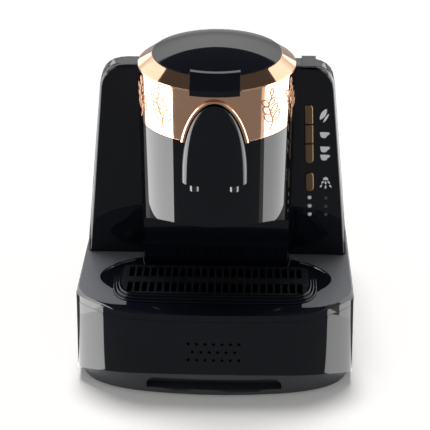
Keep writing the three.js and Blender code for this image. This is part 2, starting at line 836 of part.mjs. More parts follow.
// Place of the button column: its middle line leans with the flank
const tilt = THREE.MathUtils.degToRad(buttonTilt);
const columnX = (z) => buttonX - Math.tan(tilt) * (z - buttonZ);
function columnPlace(z) {
  return [columnX(z), z];
}
const stackHeight = buttonHeights.reduce((sum, height) => sum + height + buttonGap, -buttonGap);
const stackTopZ = buttonZ + stackHeight / 2;
const buttonNames = ['button_slow_brew', 'button_one_cup', 'button_two_cups'];
const buttons = buttonNames.map((name, i) => {
  const above = buttonHeights.slice(0, i).reduce((sum, height) => sum + height + buttonGap, 0);
  const last = i === buttonNames.length - 1;
  const z = stackTopZ - above - buttonHeights[i] / 2;
  return { name, height: buttonHeights[i], z, top: i === 0, bottom: last };
});
const rinseZ = stackTopZ - stackHeight - rinseGap - rinseHeight / 2;
buttons.push({ name: 'button_rinse', height: rinseHeight, z: rinseZ, top: true, bottom: true });
const firstLampZ = rinseZ - rinseHeight / 2 - lampGap;
const lampZs = Array.from({ length: lampCount }, (_, i) => firstLampZ - i * lampPitch);

// Upright slot outline whose top and bottom can be round or square
function pill(width, height, top, bottom) {
  const x = width / 2;
  const z = height / 2;
  const upper = top ? Math.min(buttonRounding, x) : 0;
  const lower = bottom ? Math.min(buttonRounding, x) : 0;
  const shape = new THREE.Shape();
  shape.moveTo(-x, lower - z);
  if (lower) shape.absarc(lower - x, lower - z, lower, Math.PI, 1.5 * Math.PI);
  else shape.lineTo(-x, -z);
  shape.lineTo(x - lower, -z);
  if (lower) shape.absarc(x - lower, lower - z, lower, 1.5 * Math.PI, 2 * Math.PI);
  shape.lineTo(x, z - upper);
  if (upper) shape.absarc(x - upper, z - upper, upper, 0, Math.PI / 2);
  shape.lineTo(upper - x, z);
  if (upper) shape.absarc(upper - x, z - upper, upper, Math.PI / 2, Math.PI);
  return shape;
}

function inColumn(solid, z) {
  const [x] = columnPlace(z);
  const turn = THREE.MathUtils.radToDeg(-tilt);
  return solid.rotate([0, turn, 0]).translate([x, 0, z]);
}

// Fascia: front wall, rolled edge, flank and roof in one shell; the right one carries the buttons
function makeFascia(side) {
  const half = side > 0 ? block(0, sideX, towerFrontY - overrun, partY, 0, towerTopZ + overrun)
    : block(-sideX, 0, towerFrontY - overrun, partY, 0, towerTopZ + overrun);
  const shellSolid = towerSolid(0, towerFootZ).subtract(towerSolid(towerWall, towerFootZ - overrun));
  const fascia = shellSolid.intersect(half).subtract(drumBore(headRadius + slip, 0));
  if (side < 0) return fascia;
  const cutFrom = towerFrontY - overrun;
  const cutTo = partY + overrun;
  const clear = 2 * seat;
  const stack = plateY(pill(buttonWidth + clear, stackHeight + clear, true, true), cutFrom, cutTo, 4);
  const rinse = plateY(pill(buttonWidth + clear, rinseHeight + clear, true, true), cutFrom, cutTo, 4);
  const lamps = lampZs.map((z) => inColumn(rodY(0, 0, lampRadius + seat, cutFrom, cutTo, smallSteps), z));
  const slots = [inColumn(stack, stackTopZ - stackHeight / 2), inColumn(rinse, rinseZ)];
  return fascia.subtract(union([...slots, ...lamps]));
}

// Button: a cap through the slot, side flanges behind the wall and a stem towards its switch
const innerFaceY = towerFrontY + towerWall;
function makeButton({ height, top, bottom }) {
  const flangeFront = innerFaceY + seat;
  const flangeBack = flangeFront + buttonFlangeDepth;
  const cap = plateY(pill(buttonWidth, height, top, bottom), towerFrontY - buttonProud, flangeBack, 4);
  const x = buttonWidth / 2 + buttonFlange;
  const z = height / 2 - buttonRounding;
  return cap.add(block(-x, x, flangeFront, flangeBack, -z, z));
}

// Control board behind the fascia with a switch for each button
function makeControlBoard() {
  const topZ = stackTopZ + controlMargin;
  const footZ = lampZs.at(-1) - controlMargin;
  const height = topZ - footZ;
  const middle = (topZ + footZ) / 2;
  const half = controlWidth / 2;
  const back = partY;
  const front = back - controlThickness;
  const board = inColumn(block(-half, half, front, back, -height / 2, height / 2), middle);
  const reach = innerFaceY + seat + buttonFlangeDepth + buttonTravel + seat / 2;
  const size = switchSize / 2;
  const switches = buttons.map(({ z }) => inColumn(block(-size, size, reach, front + seat, -size, size), z));
  return union([board, ...switches]);
}

function makeLamp() {
  const flangeFront = innerFaceY + seat;
  const back = flangeFront + buttonFlangeDepth;
  const lens = rodY(0, 0, lampRadius, towerFrontY - lampProud, back, smallSteps);
  return lens.add(rodY(0, 0, lampRadius + buttonFlange, flangeFront, back, smallSteps));
}

// Water tank: the rear of the tower, open under the cap, with ears for the cap's pin
const capPinZ = roofZ(capPinY) - capPinDepth;
function makeTank() {
  const outer = towerSolid(0, towerFootZ).intersect(slice(tankFrontY, rearY));
  const room = slice(tankFrontY + towerWall, rearY);
  const inner = towerSolid(towerWall, towerFootZ + tankFloor).intersect(room);
  const mouth = aboveParting(-seat).intersect(slice(tankFrontY - overrun, capEndY + capRearGap));
  const earZ = capPinZ - barrelRadius;
  const ears = [-1, 1].flatMap((side) => [-1, 1].map((edge) => {
    const x = side * lugX + edge * (lugWidth / 2 + slip + earWidth / 2);
    const y0 = capPinY - barrelRadius;
    const y1 = capPinY + barrelRadius + capRearGap;
    return block(x - earWidth / 2, x + earWidth / 2, y0, y1, earZ, roofZ(y1));
  }));
  const swept = aboveParting(0).intersect(slice(tankFrontY, capPinY - barrelRadius));
  const earBlocks = union(ears).subtract(swept);
  const notches = [-1, 1].map((side) => block(
    side * lugX - lugWidth / 2 - slip, side * lugX + lugWidth / 2 + slip,
    capEndY, capPinY + barrelRadius + slip, earZ - slip, towerTopZ,
  ));
  const pin = rodX(capPinY, capPinZ, capPinRadius + seat / 2, -sideX, sideX, pinSteps).intersect(
    block(-lugX - lugWidth, lugX + lugWidth, tankFrontY, rearY, earZ, towerTopZ),
  );
  const hole = post(0, valveY, valveRadius + seat, 0, towerFootZ + tankFloor + overrun);
  return outer.subtract(inner).subtract(mouth).add(earBlocks.intersect(outer)).subtract(
    union([...notches, pin, hole]),
  );
}

function makeTankValve() {
  const floor = towerFootZ + tankFloor + seat;
  const stem = post(0, 0, valveRadius, towerFootZ - valveDrop, floor + valveFlange / 2);
  return stem.add(post(0, 0, valveRadius + valveFlange, floor, floor + valveFlange));
}

// Roof cap: the lid of the water tank, wrapped round the drum and hinged at its rear
function makeTankLid() {
  const span = slice(partY + seat, capEndY);
  const outer = towerSolid(0, towerFootZ).intersect(aboveParting(0)).intersect(span);
  const room = slice(partY + seat + towerWall, capEndY - towerWall);
  const inner = towerSolid(towerWall, towerFootZ).intersect(room);
  const bore = drumBore(headRadius + 3 * slip, 0);
  const collar = drumBore(headRadius + 3 * slip + towerWall, 0);
  const cap = outer.subtract(inner.subtract(collar)).subtract(bore);
  const reachY = capEndY - lugReach;
  const top = (y) => roofZ(y) - towerWall / 2;
  const lug = polygon([
    [reachY, top(reachY) - barrelRadius], [capPinY, capPinZ - barrelRadius],
    [capPinY, capPinZ + barrelRadius], [capEndY, top(capEndY)], [reachY, top(reachY)],
  ]);
  const lugs = [-1, 1].map((side) => {
    const x0 = side * lugX - lugWidth / 2;
    return plateX(lug, x0, x0 + lugWidth).add(rodX(capPinY, capPinZ, barrelRadius, x0, x0 + lugWidth));
  });
  const pin = rodX(capPinY, capPinZ, capPinRadius + seat / 2, -sideX, sideX, pinSteps);
  return union([cap, ...lugs]).subtract(pin);
}

function makeTankLidPin() {
  const half = lugX + lugWidth / 2 + slip + earWidth;
  return rodX(0, 0, capPinRadius, -half, half, pinSteps);
}

function makeTab() {
  const half = tabWidth / 2;
  const front = towerFrontY + tabFrontSetback;
  const foot = towerTopZ + seat;
  return block(-half, half, front, front + tabLength, foot, foot + tabThickness);
}

// Valve seat under the deck that the tank's valve plugs into
function makeValveSeat() {
  const top = dishZ - deckWall - seat;
  const cup = post(0, 0, valveRadius + 2 * valveFlange, top - valveFlange, top);
  const body = post(0, 0, valveRadius + valveFlange, top - valveSeatDepth, top - valveFlange / 2);
  const spoutZ = top - valveSeatDepth / 2;
  const spout = rodY(0, spoutZ, hoseRadius, -valveRadius - 2 * valveFlange, 0, smallSteps);
  const well = post(0, 0, valveRadius, spoutZ, top + overrun);
  const bore = rodY(0, spoutZ, hoseBoreRadius, -valveRadius - 3 * valveFlange, 0, smallSteps);
  return union([cup, body, spout]).subtract(well).subtract(bore);
}

// Pump on a bracket that meets the rear wall of the tower housing
function makePump() {
  const foot = towerFootZ + pumpRise;
  const body = post(0, 0, pumpRadius, foot, foot + pumpHeight, 32);
  const half = pumpBracketWidth / 2;
  const wallY = housingRearY - towerWall - seat - pumpY;
  const middle = foot + pumpHeight / 2;
  return body.add(block(-half, half, 0, wallY, middle - half, middle + half));
}

// Hose along a smooth route through hand picked points
function makeHose(points, steps) {
  const route = new THREE.CatmullRomCurve3(points.map((p) => new THREE.Vector3(...p)), false, 'centripetal');
  const section = new THREE.Shape().absarc(0, 0, hoseRadius, 0, 2 * Math.PI);
  return toSolid(new THREE.ExtrudeGeometry(section, { steps, curveSegments: 4, extrudePath: route }));
}

// Hose from the valve seat under the deck up to the pump
function makeFeedHose() {
  const z = dishZ - deckWall - seat - valveSeatDepth / 2;
  const y = valveY - valveRadius - 2 * valveFlange - seat;
  const bend = 3 * hoseRadius;
  return makeHose([
    [0, y, z], [0, y - bend, z], [pumpX / 2, (y + pumpY) / 2, z - hoseRadius / 2],
    [pumpX, pumpY + hoseRadius, z + hoseRadius], [pumpX, pumpY, z + bend + hoseRadius],
    [pumpX, pumpY, towerFootZ + pumpRise - seat],
  ], 22);
}

// Hose from the pump round the drum to the inlet of the pot
function makeRiserHose() {
  const start = towerFootZ + pumpRise + pumpHeight + seat;
  const end = potZ + potInletRise;
  const drumBack = drumY + Math.sqrt(drumRadius ** 2 - potInletX ** 2);
  const run = drumBack + 3 * hoseRadius;
  const wallY = Math.sqrt((potRadius - potWall) ** 2 - potInletX ** 2);
  const mouth = drumY + wallY + spigotLength + seat;
  return makeHose([
    [pumpX, pumpY, start], [pumpX, pumpY, start + hoseRadius],
    [pumpX, drumBack - hoseRadius, drumFloorZ - 1.6 * hoseRadius],
    [pumpX, drumBack + 1.4 * hoseRadius, drumFloorZ - hoseRadius], [pumpX, run, drumFloorZ + 2 * hoseRadius],
    [potInletX, run, end - 4 * hoseRadius], [potInletX, run - 2 * hoseRadius, end - hoseRadius / 2],
    [potInletX, drumBack - hoseRadius, end], [potInletX, mouth, end],
  ], 30);
}

// Superelliptic arch of the cup bay, seen from the front
function bayShape() {
  const shape = new THREE.Shape();
  shape.moveTo(bayHalfWidth, deckHeight - overrun);
  const steps = 20;
  for (let i = 0; i <= steps; i++) {
    const angle = Math.PI * i / steps;
    const power = 2 / bayExponent;
    const x = Math.sign(Math.cos(angle)) * Math.abs(Math.cos(angle)) ** power;
    shape.lineTo(x * bayHalfWidth, deckHeight + bayHeight * Math.sin(angle) ** power);
  }
  shape.lineTo(-bayHalfWidth, deckHeight - overrun);
  return shape;
}

const tubeHoles = (radius) => union([-1, 1].map((side) => {
  return rodY(side * nozzleX, tubeZ, radius, -headRadius - overrun, -potRadius, smallSteps);
}));
const wireHole = () => rodY(potInletX, potZ + potInletRise, hoseRadius + 3 * slip, 0, headRadius, smallSteps);

// Column under the band: a round front over the cup bay, open towards the tower
function makeColumn() {
  const back = partY - seat - drumY;
  const front = -headRadius + bayDepth;
  const round = post(0, 0, headRadius, towerFootZ, columnTopZ, roundSteps).intersect(
    block(-headRadius, headRadius, -headRadius, back, 0, columnTopZ),
  );
  const bay = plateY(bayShape(), -headRadius - overrun, front);
  const inner = headRadius - columnWall;
  const low = post(0, 0, inner, towerFootZ - overrun, shelfZ - shelfThickness, roundSteps).intersect(
    block(-inner, inner, front + columnWall, headRadius, 0, shelfZ),
  );
  const high = post(0, 0, inner, shelfZ, columnTopZ + overrun, roundSteps);
  return round.subtract(bay).subtract(union([low, high, tubeHoles(tubeRadius + seat)]));
}

// Inner drum: carries the pot, the heater and the lid hinge
function makeDrum() {
  const top = bandTopZ - seat;
  const outer = post(0, 0, drumRadius, drumFloorZ, top, roundSteps);
  const inner = post(0, 0, drumRadius - drumWall, drumFloorZ + drumWall, top + overrun, roundSteps);
  const posts = Array.from({ length: drumPostCount }, (_, i) => {
    const angle = Math.PI / 2 + 2 * Math.PI * i / drumPostCount;
    const x = drumPostRing * Math.cos(angle);
    const y = drumPostRing * Math.sin(angle);
    return post(x, y, drumPostRadius, drumFloorZ + drumWall / 2, heaterZ - seat, smallSteps);
  });
  return outer.subtract(inner).subtract(union([tubeHoles(tubeRadius + seat), wireHole()])).add(union(posts));
}

const makeBand = () => turned([
  [headRadius - columnWall, bandZ], [headRadius, bandZ], [headRadius, bandTopZ],
  [headRadius - columnWall, bandTopZ], [headRadius - columnWall, bandZ],
]);

// Bevelled ring round the mouth, open at the rear for the hinge
const hingeHalfWidth = hingeArmHalfWidth + slip + hingeEarWidth;
function makeBevelRing() {
  const ring = turned([
    [headRadius - bevelFootWidth, bevelZ], [headRadius, bevelZ], [mouthRadius, mouthZ],
    [mouthRadius - bevelLipWidth, mouthZ], [mouthRadius - bevelLipWidth, mouthZ - bevelLipHeight],
    [headRadius - bevelFootWidth, bevelZ],
  ]);
  const notch = hingeHalfWidth + slip;
  return ring.subtract(block(-notch, notch, 0, headRadius, bandTopZ - overrun, mouthZ + overrun));
}

// Arch outline of the pouring shield, grown or shrunk
function archShape(grow, base) {
  const half = shieldHalfWidth + grow;
  const spring = shieldZ + shieldSpringRise;
  const shape = new THREE.Shape();
  shape.moveTo(half, base);
  shape.lineTo(half, spring);
  shape.absellipse(0, spring, half, shieldArchHeight + grow, 0, Math.PI);
  shape.lineTo(-half, base);
  return shape;
}

// Round nose that gives the shield its curved front
function noseSolid(inset, z0, z1) {
  const top = shieldZ + shieldSpringRise + shieldArchHeight;
  const radius = (z) => {
    const share = (z - shieldZ) / (top - shieldZ);
    return noseFootRadius + (noseTopRadius - noseFootRadius) * share - inset;
  };
  const cone = new THREE.CylinderGeometry(radius(z1), radius(z0), z1 - z0, roundSteps).rotateX(Math.PI / 2);
  return toSolid(cone.translate(0, -noseCentre, (z0 + z1) / 2));
}

function makeShield() {
  const top = shieldZ + shieldSpringRise + shieldArchHeight;
  const back = -noseCentre;
  const far = -noseCentre - noseFootRadius - overrun;
  const outer = plateY(archShape(0, shieldZ), far, back, smallSteps).intersect(noseSolid(0, shieldZ, top));
  const inner = plateY(archShape(-shieldWall, shieldZ - overrun), far, back, smallSteps).intersect(
    noseSolid(shieldWall, shieldZ - overrun, top),
  );
  const behind = post(0, 0, clearRadius, shieldZ - overrun, top + overrun, roundSteps);
  return outer.subtract(inner).subtract(behind);
}

function makeBezel() {
  const far = -headRadius - bezelProud - overrun;
  const arch = plateY(archShape(bezelWidth, shieldZ), far, -noseCentre, smallSteps);
  const hole = plateY(archShape(seat, shieldZ - overrun), far - overrun, overrun - noseCentre, smallSteps);
  const outer = post(0, 0, headRadius + bezelProud, bandZ, bandTopZ, roundSteps);
  const behind = post(0, 0, clearRadius, 0, bandTopZ + overrun, roundSteps);
  return arch.intersect(outer).subtract(hole).subtract(behind);
}

// Manifold inside the shield that feeds the two nozzles
const nozzleY = -Math.sqrt((clearRadius + seat + nozzleRadius) ** 2 - nozzleX ** 2);
function makeManifold() {
  const top = shieldZ + manifoldHeight;
  const inset = shieldWall + seat;
  const far = -noseCentre - noseFootRadius;
  const arch = plateY(archShape(-inset, shieldZ), far, -noseCentre, smallSteps);
  const body = arch.intersect(noseSolid(inset, shieldZ, top));
  const behind = post(0, 0, clearRadius, shieldZ - overrun, top + overrun, roundSteps);
  const sockets = [-1, 1].map((side) => {
    return rodY(side * nozzleX, tubeZ, tubeRadius + seat, -headRadius - tubeSocket, -noseCentre, smallSteps);
  });
  const bores = [-1, 1].map((side) => {
    return post(side * nozzleX, nozzleY, nozzleBoreRadius, shieldZ - overrun, tubeZ, smallSteps);
  });
  return body.subtract(behind).subtract(union([...sockets, ...bores]));
}

function makeNozzle() {
  const top = shieldZ - seat;
  const foot = top - nozzleLength;
  const bore = post(0, 0, nozzleBoreRadius, foot - overrun, top + overrun, smallSteps);
  return post(0, 0, nozzleRadius, foot, top).subtract(bore);
}

function makeTube() {
  const front = -headRadius - tubeSocket + seat;
  const back = -potRadius - spigotLength + potRadius - Math.sqrt(potRadius ** 2 - nozzleX ** 2) - seat;
  const outer = rodY(0, 0, tubeRadius, front, back, smallSteps);
  return outer.subtract(rodY(0, 0, tubeBoreRadius, front - overrun, back + overrun, smallSteps));
}

// Brewing pot with a rolled rim, two pouring spigots and a water inlet
function makePot() {
  const inner = potRadius - potWall;
  const body = turned([
    [0, potZ], [potRadius, potZ], [potRadius, potTopZ - potFlangeHeight],
    [potRadius + potFlange, potTopZ - potFlangeHeight], [potRadius + potFlange, potTopZ],
    [inner, potTopZ], [inner, potZ + potWall], [0, potZ + potWall],
  ], innerSteps);
  const spigotX = [-nozzleX, nozzleX];
  const back = -Math.sqrt(inner ** 2 - nozzleX ** 2);
  const front = -Math.sqrt(potRadius ** 2 - nozzleX ** 2) - spigotLength;
  const spigots = spigotX.map((x) => rodY(x, tubeZ, tubeBoreRadius + spigotWall, front, back, smallSteps));
  const inletZ = potZ + potInletRise;
  const wallY = Math.sqrt(inner ** 2 - potInletX ** 2);
  const end = wallY + spigotLength;
  const inlet = rodY(potInletX, inletZ, hoseRadius, wallY, end, smallSteps);
  const boreFront = front - overrun;
  const bores = spigotX.map((x) => rodY(x, tubeZ, tubeBoreRadius, boreFront, back + overrun, smallSteps));
  const inletBore = rodY(potInletX, inletZ, hoseBoreRadius, wallY - overrun, end + overrun, smallSteps);
  const room = post(0, 0, inner, potZ + potWall, potTopZ + overrun, innerSteps);
  return union([...spigots, inlet]).subtract(room).add(body).subtract(union([...bores, inletBore]));
}

const collarTopZ = potTopZ + seat + collarRise;
const makeCollar = () => turned([
  [potRadius - collarWall, potTopZ + seat], [potRadius + potFlange, potTopZ + seat],
  [drumRadius - drumWall - seat, collarTopZ - collarWall], [drumRadius - drumWall - seat, collarTopZ],
  [drumRadius - drumWall - seat - collarWall, collarTopZ],
  [potRadius - collarWall, potTopZ + seat + collarWall], [potRadius - collarWall, potTopZ + seat],
], innerSteps);

const makeHeater = () => post(0, 0, heaterRadius, heaterZ, potZ - seat, innerSteps).subtract(
  post(0, 0, heaterHoleRadius, heaterZ - overrun, potZ + overrun),
);

const makeSensor = () => post(0, 0, heaterHoleRadius - slip, potZ - seat - sensorLength, potZ - seat);

// Arc of the lid's dome from its top down to a radius, on a sphere
function domeArc(topZ, edgeRadius, edgeZ, steps) {
  const rise = topZ - edgeZ;
  const sphere = (edgeRadius ** 2 + rise ** 2) / (2 * rise);
  const last = Math.asin(Math.min(edgeRadius / sphere, 1));
  return Array.from({ length: steps + 1 }, (_, i) => {
    const angle = last * i / steps;
    return [sphere * Math.sin(angle), topZ - sphere * (1 - Math.cos(angle))];
  });
}

// Lid: dome with a locating skirt, a finger tab over the bevel and an arm back to the hinge
function makeLid() {
  const edge = mouthRadius - seat / 2;
  const skirt = mouthRadius - lidSkirtInset;
  const skirtZ0 = mouthZ - lidSkirtDrop;
  const inner = domeArc(lidTopZ - lidWall, skirt - lidSkirtWall, lidZ, 2).reverse();
  const dome = turned([
    ...domeArc(lidTopZ, edge, lidZ, 6),
    [skirt, lidZ], [skirt, skirtZ0], [skirt - lidSkirtWall, skirtZ0], ...inner,
  ].reverse());
  const drop = bandTopZ + tabReach - seat;
  const lipRadius = headRadius + tabReach;
  const tabFootZ = mouthZ - tabDrop;
  const tab = turned([
    [edge - tabRoot, lidZ], [edge + seat, lidZ + seat], [clearRadius, bevelZ + seat], [clearRadius, tabFootZ],
    [lipRadius, tabFootZ], [lipRadius, tabFootZ + tabFaceHeight], [headRadius, drop],
    [edge, lidZ + lidWall], [edge - tabRoot, lidZ + lidWall], [edge - tabRoot, lidZ],
  ]).intersect(block(-tabHalfWidth, tabHalfWidth, -headRadius - overrun, 0, 0, lidTopZ));
  const arm = plateX(polygon([
    [skirt - lidSkirtWall, skirtZ0], [skirt, skirtZ0], [hingeY, hingeZ - hingeBarrelRadius],
    [hingeY, hingeZ + hingeBarrelRadius], [edge, lidZ], [skirt - lidSkirtWall, lidZ],
  ]), -hingeArmHalfWidth, hingeArmHalfWidth);
  const barrel = rodX(hingeY, hingeZ, hingeBarrelRadius, -hingeArmHalfWidth, hingeArmHalfWidth, 24);
  const pin = rodX(hingeY, hingeZ, hingePinRadius + seat / 2, -headRadius, headRadius, pinSteps);
  return union([dome, tab, arm, barrel]).subtract(pin);
}

// Liner clipped under the dome, and the seal round it
const linerRadius = mouthRadius - lidSkirtInset - lidSkirtWall - seat;
const linerZ = mouthZ - lidSkirtDrop;
const makeLiner = () => post(0, 0, linerRadius, linerZ, linerZ + lidWall, innerSteps);

const sealTopZ = linerZ - seat;
const makeSeal = () => turned([
  [linerRadius + seat, sealTopZ - lidWall], [mouthRadius - lidSkirtInset, sealTopZ - lidWall],
  [mouthRadius - lidSkirtInset, sealTopZ], [linerRadius - lidWall, sealTopZ],
  [linerRadius - lidWall, sealTopZ - lidWall / 2], [linerRadius + seat, sealTopZ - lidWall],
], innerSteps);

// Hinge block in the gap of the bevelled ring: a base with two ears and room for the lid's arm
function makeHingeBlock() {
  const baseTop = bevelZ + hingeBaseHeight;
  const room = hingeArmHalfWidth + slip;
  const armRoom = block(-room, room, 0, hingeY, 0, lidTopZ);
  const base = block(
    -hingeHalfWidth, hingeHalfWidth, headRadius - hingeBaseDepth, headRadius, bevelZ, baseTop,
  );
  const ears = [-1, 1].map((side) => {
    const x0 = side > 0 ? room : -hingeHalfWidth;
    const ear = block(
      x0, x0 + hingeEarWidth, hingeY - hingeBarrelRadius, hingeY + hingeBarrelRadius, bevelZ, hingeZ,
    );
    return ear.add(rodX(hingeY, hingeZ, hingeBarrelRadius, x0, x0 + hingeEarWidth, 24));
  });
  const round = post(0, 0, headRadius, bandTopZ, lidTopZ, roundSteps);
  const pin = rodX(hingeY, hingeZ, hingePinRadius + seat / 2, -headRadius, headRadius, pinSteps);
  const sweep = rodX(hingeY, hingeZ, hingeBarrelRadius + slip, -room, room, 24);
  return union([base, ...ears]).intersect(round).subtract(pin).subtract(sweep).subtract(armRoom);
}

const makeHingePin = () => rodX(0, 0, hingePinRadius, -hingeHalfWidth, hingeHalfWidth, pinSteps);

addPiece(machine, 'plinth', makePlinth(), 'satin');
footPlaces.forEach(([x, y], i) => addPiece(machine, `foot_${i + 1}`, makeFoot(), 'rubber', x, y));
addPiece(machine, 'base_housing', makeHousing(), 'gloss');
screwPlaces.forEach(([x, y], i) => addPiece(machine, `screw_${i + 1}`, makeScrew(), 'steel', x, y));
addPiece(machine, 'speaker', makeSpeaker(), 'satin', 0, 0, ventHeight);
addPiece(machine, 'power_board', makePowerBoard(), 'board', 0, boardY, boardZ);
addPiece(machine, 'cord_inlet', makeInlet(), 'rubber', -inletX, 0, inletHeight);

addPiece(machine, 'deck_cover', makeDeck(), 'gloss');
addPiece(machine, 'drip_tray', makeTray(), 'gloss');
addPiece(machine, 'cup_grille', makeGrille(), 'gloss');
addPiece(machine, 'valve_seat', makeValveSeat(), 'white', 0, valveY);

const tower = new THREE.Group();
machine.add(tower);
addPiece(tower, 'tower_housing', makeTowerHousing(), 'gloss');
addPiece(tower, 'fascia_left', makeFascia(-1), 'gloss');
addPiece(tower, 'fascia_right', makeFascia(1), 'gloss');
addPiece(tower, 'water_tank', makeTank(), 'smoke');
addPiece(tower, 'tank_valve', makeTankValve(), 'white', 0, valveY);
addPiece(tower, 'tank_lid', makeTankLid(), 'grey');
addPiece(tower, 'tank_lid_tab', makeTab(), 'satin', tabX);
addPiece(tower, 'tank_lid_pin', makeTankLidPin(), 'steel', 0, capPinY, capPinZ);
addPiece(tower, 'pump', makePump(), 'white', pumpX, pumpY);
addPiece(tower, 'feed_hose', makeFeedHose(), 'hose');
addPiece(tower, 'riser_hose', makeRiserHose(), 'hose');

const column = new THREE.Group();
machine.add(column);
for (const button of buttons) {
  const [x, z] = columnPlace(button.z);
  addPiece(column, button.name, makeButton(button), 'bronze', x, 0, z);
}
lampZs.forEach((place, i) => {
  const [x, z] = columnPlace(place);
  addPiece(column, `lamp_lens_${i + 1}`, makeLamp(), 'white', x, 0, z);
});
for (const mesh of column.children) mesh.rotation.y = -tilt;
addPiece(column, 'control_board', makeControlBoard(), 'board');

const head = new THREE.Group();
head.position.y = drumY;
machine.add(head);
addPiece(head, 'column_cover', makeColumn(), 'gloss');
addPiece(head, 'brew_drum', makeDrum(), 'satin');
addPiece(head, 'copper_band', makeBand(), 'copper');
addPiece(head, 'bevel_ring', makeBevelRing(), 'copper');
addPiece(head, 'shield_bezel', makeBezel(), 'copper');
addPiece(head, 'nozzle_shield', makeShield(), 'gloss');
addPiece(head, 'nozzle_manifold', makeManifold(), 'satin');
for (const [name, side] of [['left', -1], ['right', 1]]) {
  addPiece(head, `nozzle_${name}`, makeNozzle(), 'smoke', side * nozzleX, nozzleY);
  addPiece(head, `spout_tube_${name}`, makeTube(), 'hose', side * nozzleX, 0, tubeZ);
}
addPiece(head, 'brew_pot', makePot(), 'steel');
addPiece(head, 'pot_collar', makeCollar(), 'satin');
addPiece(head, 'heater_plate', makeHeater(), 'steel');
addPiece(head, 'temperature_sensor', makeSensor(), 'steel');
addPiece(head, 'lid_shell', makeLid(), 'gloss');
addPiece(head, 'lid_liner', makeLiner(), 'satin');
addPiece(head, 'lid_seal', makeSeal(), 'rubber');
addPiece(head, 'hinge_block', makeHingeBlock(), 'satin');
addPiece(head, 'hinge_pin', makeHingePin(), 'steel', 0, hingeY, hingeZ);

export default machine;
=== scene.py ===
import bpy
import json
import math
from mathutils import Matrix, Vector

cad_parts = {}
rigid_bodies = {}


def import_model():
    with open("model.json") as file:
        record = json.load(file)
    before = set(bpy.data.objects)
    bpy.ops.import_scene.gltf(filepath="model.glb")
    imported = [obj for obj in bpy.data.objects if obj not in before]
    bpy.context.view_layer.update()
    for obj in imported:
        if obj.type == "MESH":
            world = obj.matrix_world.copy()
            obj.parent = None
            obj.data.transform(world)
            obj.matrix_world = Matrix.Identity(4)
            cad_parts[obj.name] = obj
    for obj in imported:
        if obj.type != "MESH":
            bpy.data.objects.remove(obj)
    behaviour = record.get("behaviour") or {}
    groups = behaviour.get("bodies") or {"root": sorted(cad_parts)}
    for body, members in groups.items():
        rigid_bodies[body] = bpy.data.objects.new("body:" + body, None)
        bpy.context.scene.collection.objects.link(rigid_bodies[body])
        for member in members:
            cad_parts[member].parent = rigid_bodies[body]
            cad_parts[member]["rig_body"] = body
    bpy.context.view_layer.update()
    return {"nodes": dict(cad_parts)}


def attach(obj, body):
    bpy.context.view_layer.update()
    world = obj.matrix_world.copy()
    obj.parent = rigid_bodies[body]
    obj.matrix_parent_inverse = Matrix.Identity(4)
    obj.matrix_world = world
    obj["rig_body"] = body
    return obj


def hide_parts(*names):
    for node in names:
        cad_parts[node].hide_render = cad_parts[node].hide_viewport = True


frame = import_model()
bpy.ops.object.select_all(action="DESELECT")
scene = bpy.context.scene
scene.view_settings.view_transform = "Standard"

# Camera. A long lens looks down at the front, almost square on, from the height at which such
# machines are photographed on a table.
look_down = math.radians(28.29)
look_aside = math.radians(1.72)
lens = bpy.data.cameras.new("table_camera")
lens.sensor_width = 36
lens.lens = 107.69
camera = bpy.data.objects.new("table_camera", lens)
camera.location = (0.03155, -1.14421, 0.74434)
camera.rotation_euler = (math.pi / 2 - look_down, 0, look_aside)
scene.collection.objects.link(camera)
scene.camera = camera


# Room. A white surround that shows behind the machine and in its gloss, and that gives plain light
# at a lower level.
def linear(hex_code):
    """sRGB hex code as a linear colour"""
    parts = [int(hex_code[i:i + 2], 16) / 255 for i in (1, 3, 5)]
    return (*[p / 12.92 if p <= 0.04045 else ((p + 0.055) / 1.055) ** 2.4 for p in parts], 1)


def add(tree, kind, sockets=None, **settings):
    """A node with its settings; each socket is given a value or another node's output"""
    node = tree.nodes.new(kind)
    for name, value in settings.items():
        setattr(node, name, value)
    for name, value in (sockets or {}).items():
        if isinstance(value, bpy.types.NodeSocket):
            tree.links.new(value, node.inputs[name])
        else:
            node.inputs[name].default_value = value
    return node


def seen(tree):
    """1 on what is looked at, mirrored or seen through glass, and 0 on plain light"""
    ray = add(tree, "ShaderNodeLightPath")
    first = add(tree, "ShaderNodeMath", {0: ray.outputs["Is Camera Ray"], 1: ray.outputs["Is Glossy Ray"]},
                operation="MAXIMUM")
    second = add(tree, "ShaderNodeMath", {0: first.outputs[0], 1: ray.outputs["Is Transmission Ray"]},
                 operation="MAXIMUM")
    return second.outputs[0]


white = (1, 1, 1, 1)
plain_level = 0.26
room = bpy.data.worlds.new("white_surround")
room.use_nodes = True
scene.world = room
tree = room.node_tree
tree.nodes.clear()
level = add(tree, "ShaderNodeMapRange", {"Value": seen(tree), "To Min": plain_level, "To Max": 1.0})
pale = add(tree, "ShaderNodeBackground", {"Color": white, "Strength": level.outputs[0]})
add(tree, "ShaderNodeOutputWorld", {"Surface": pale.outputs[0]})

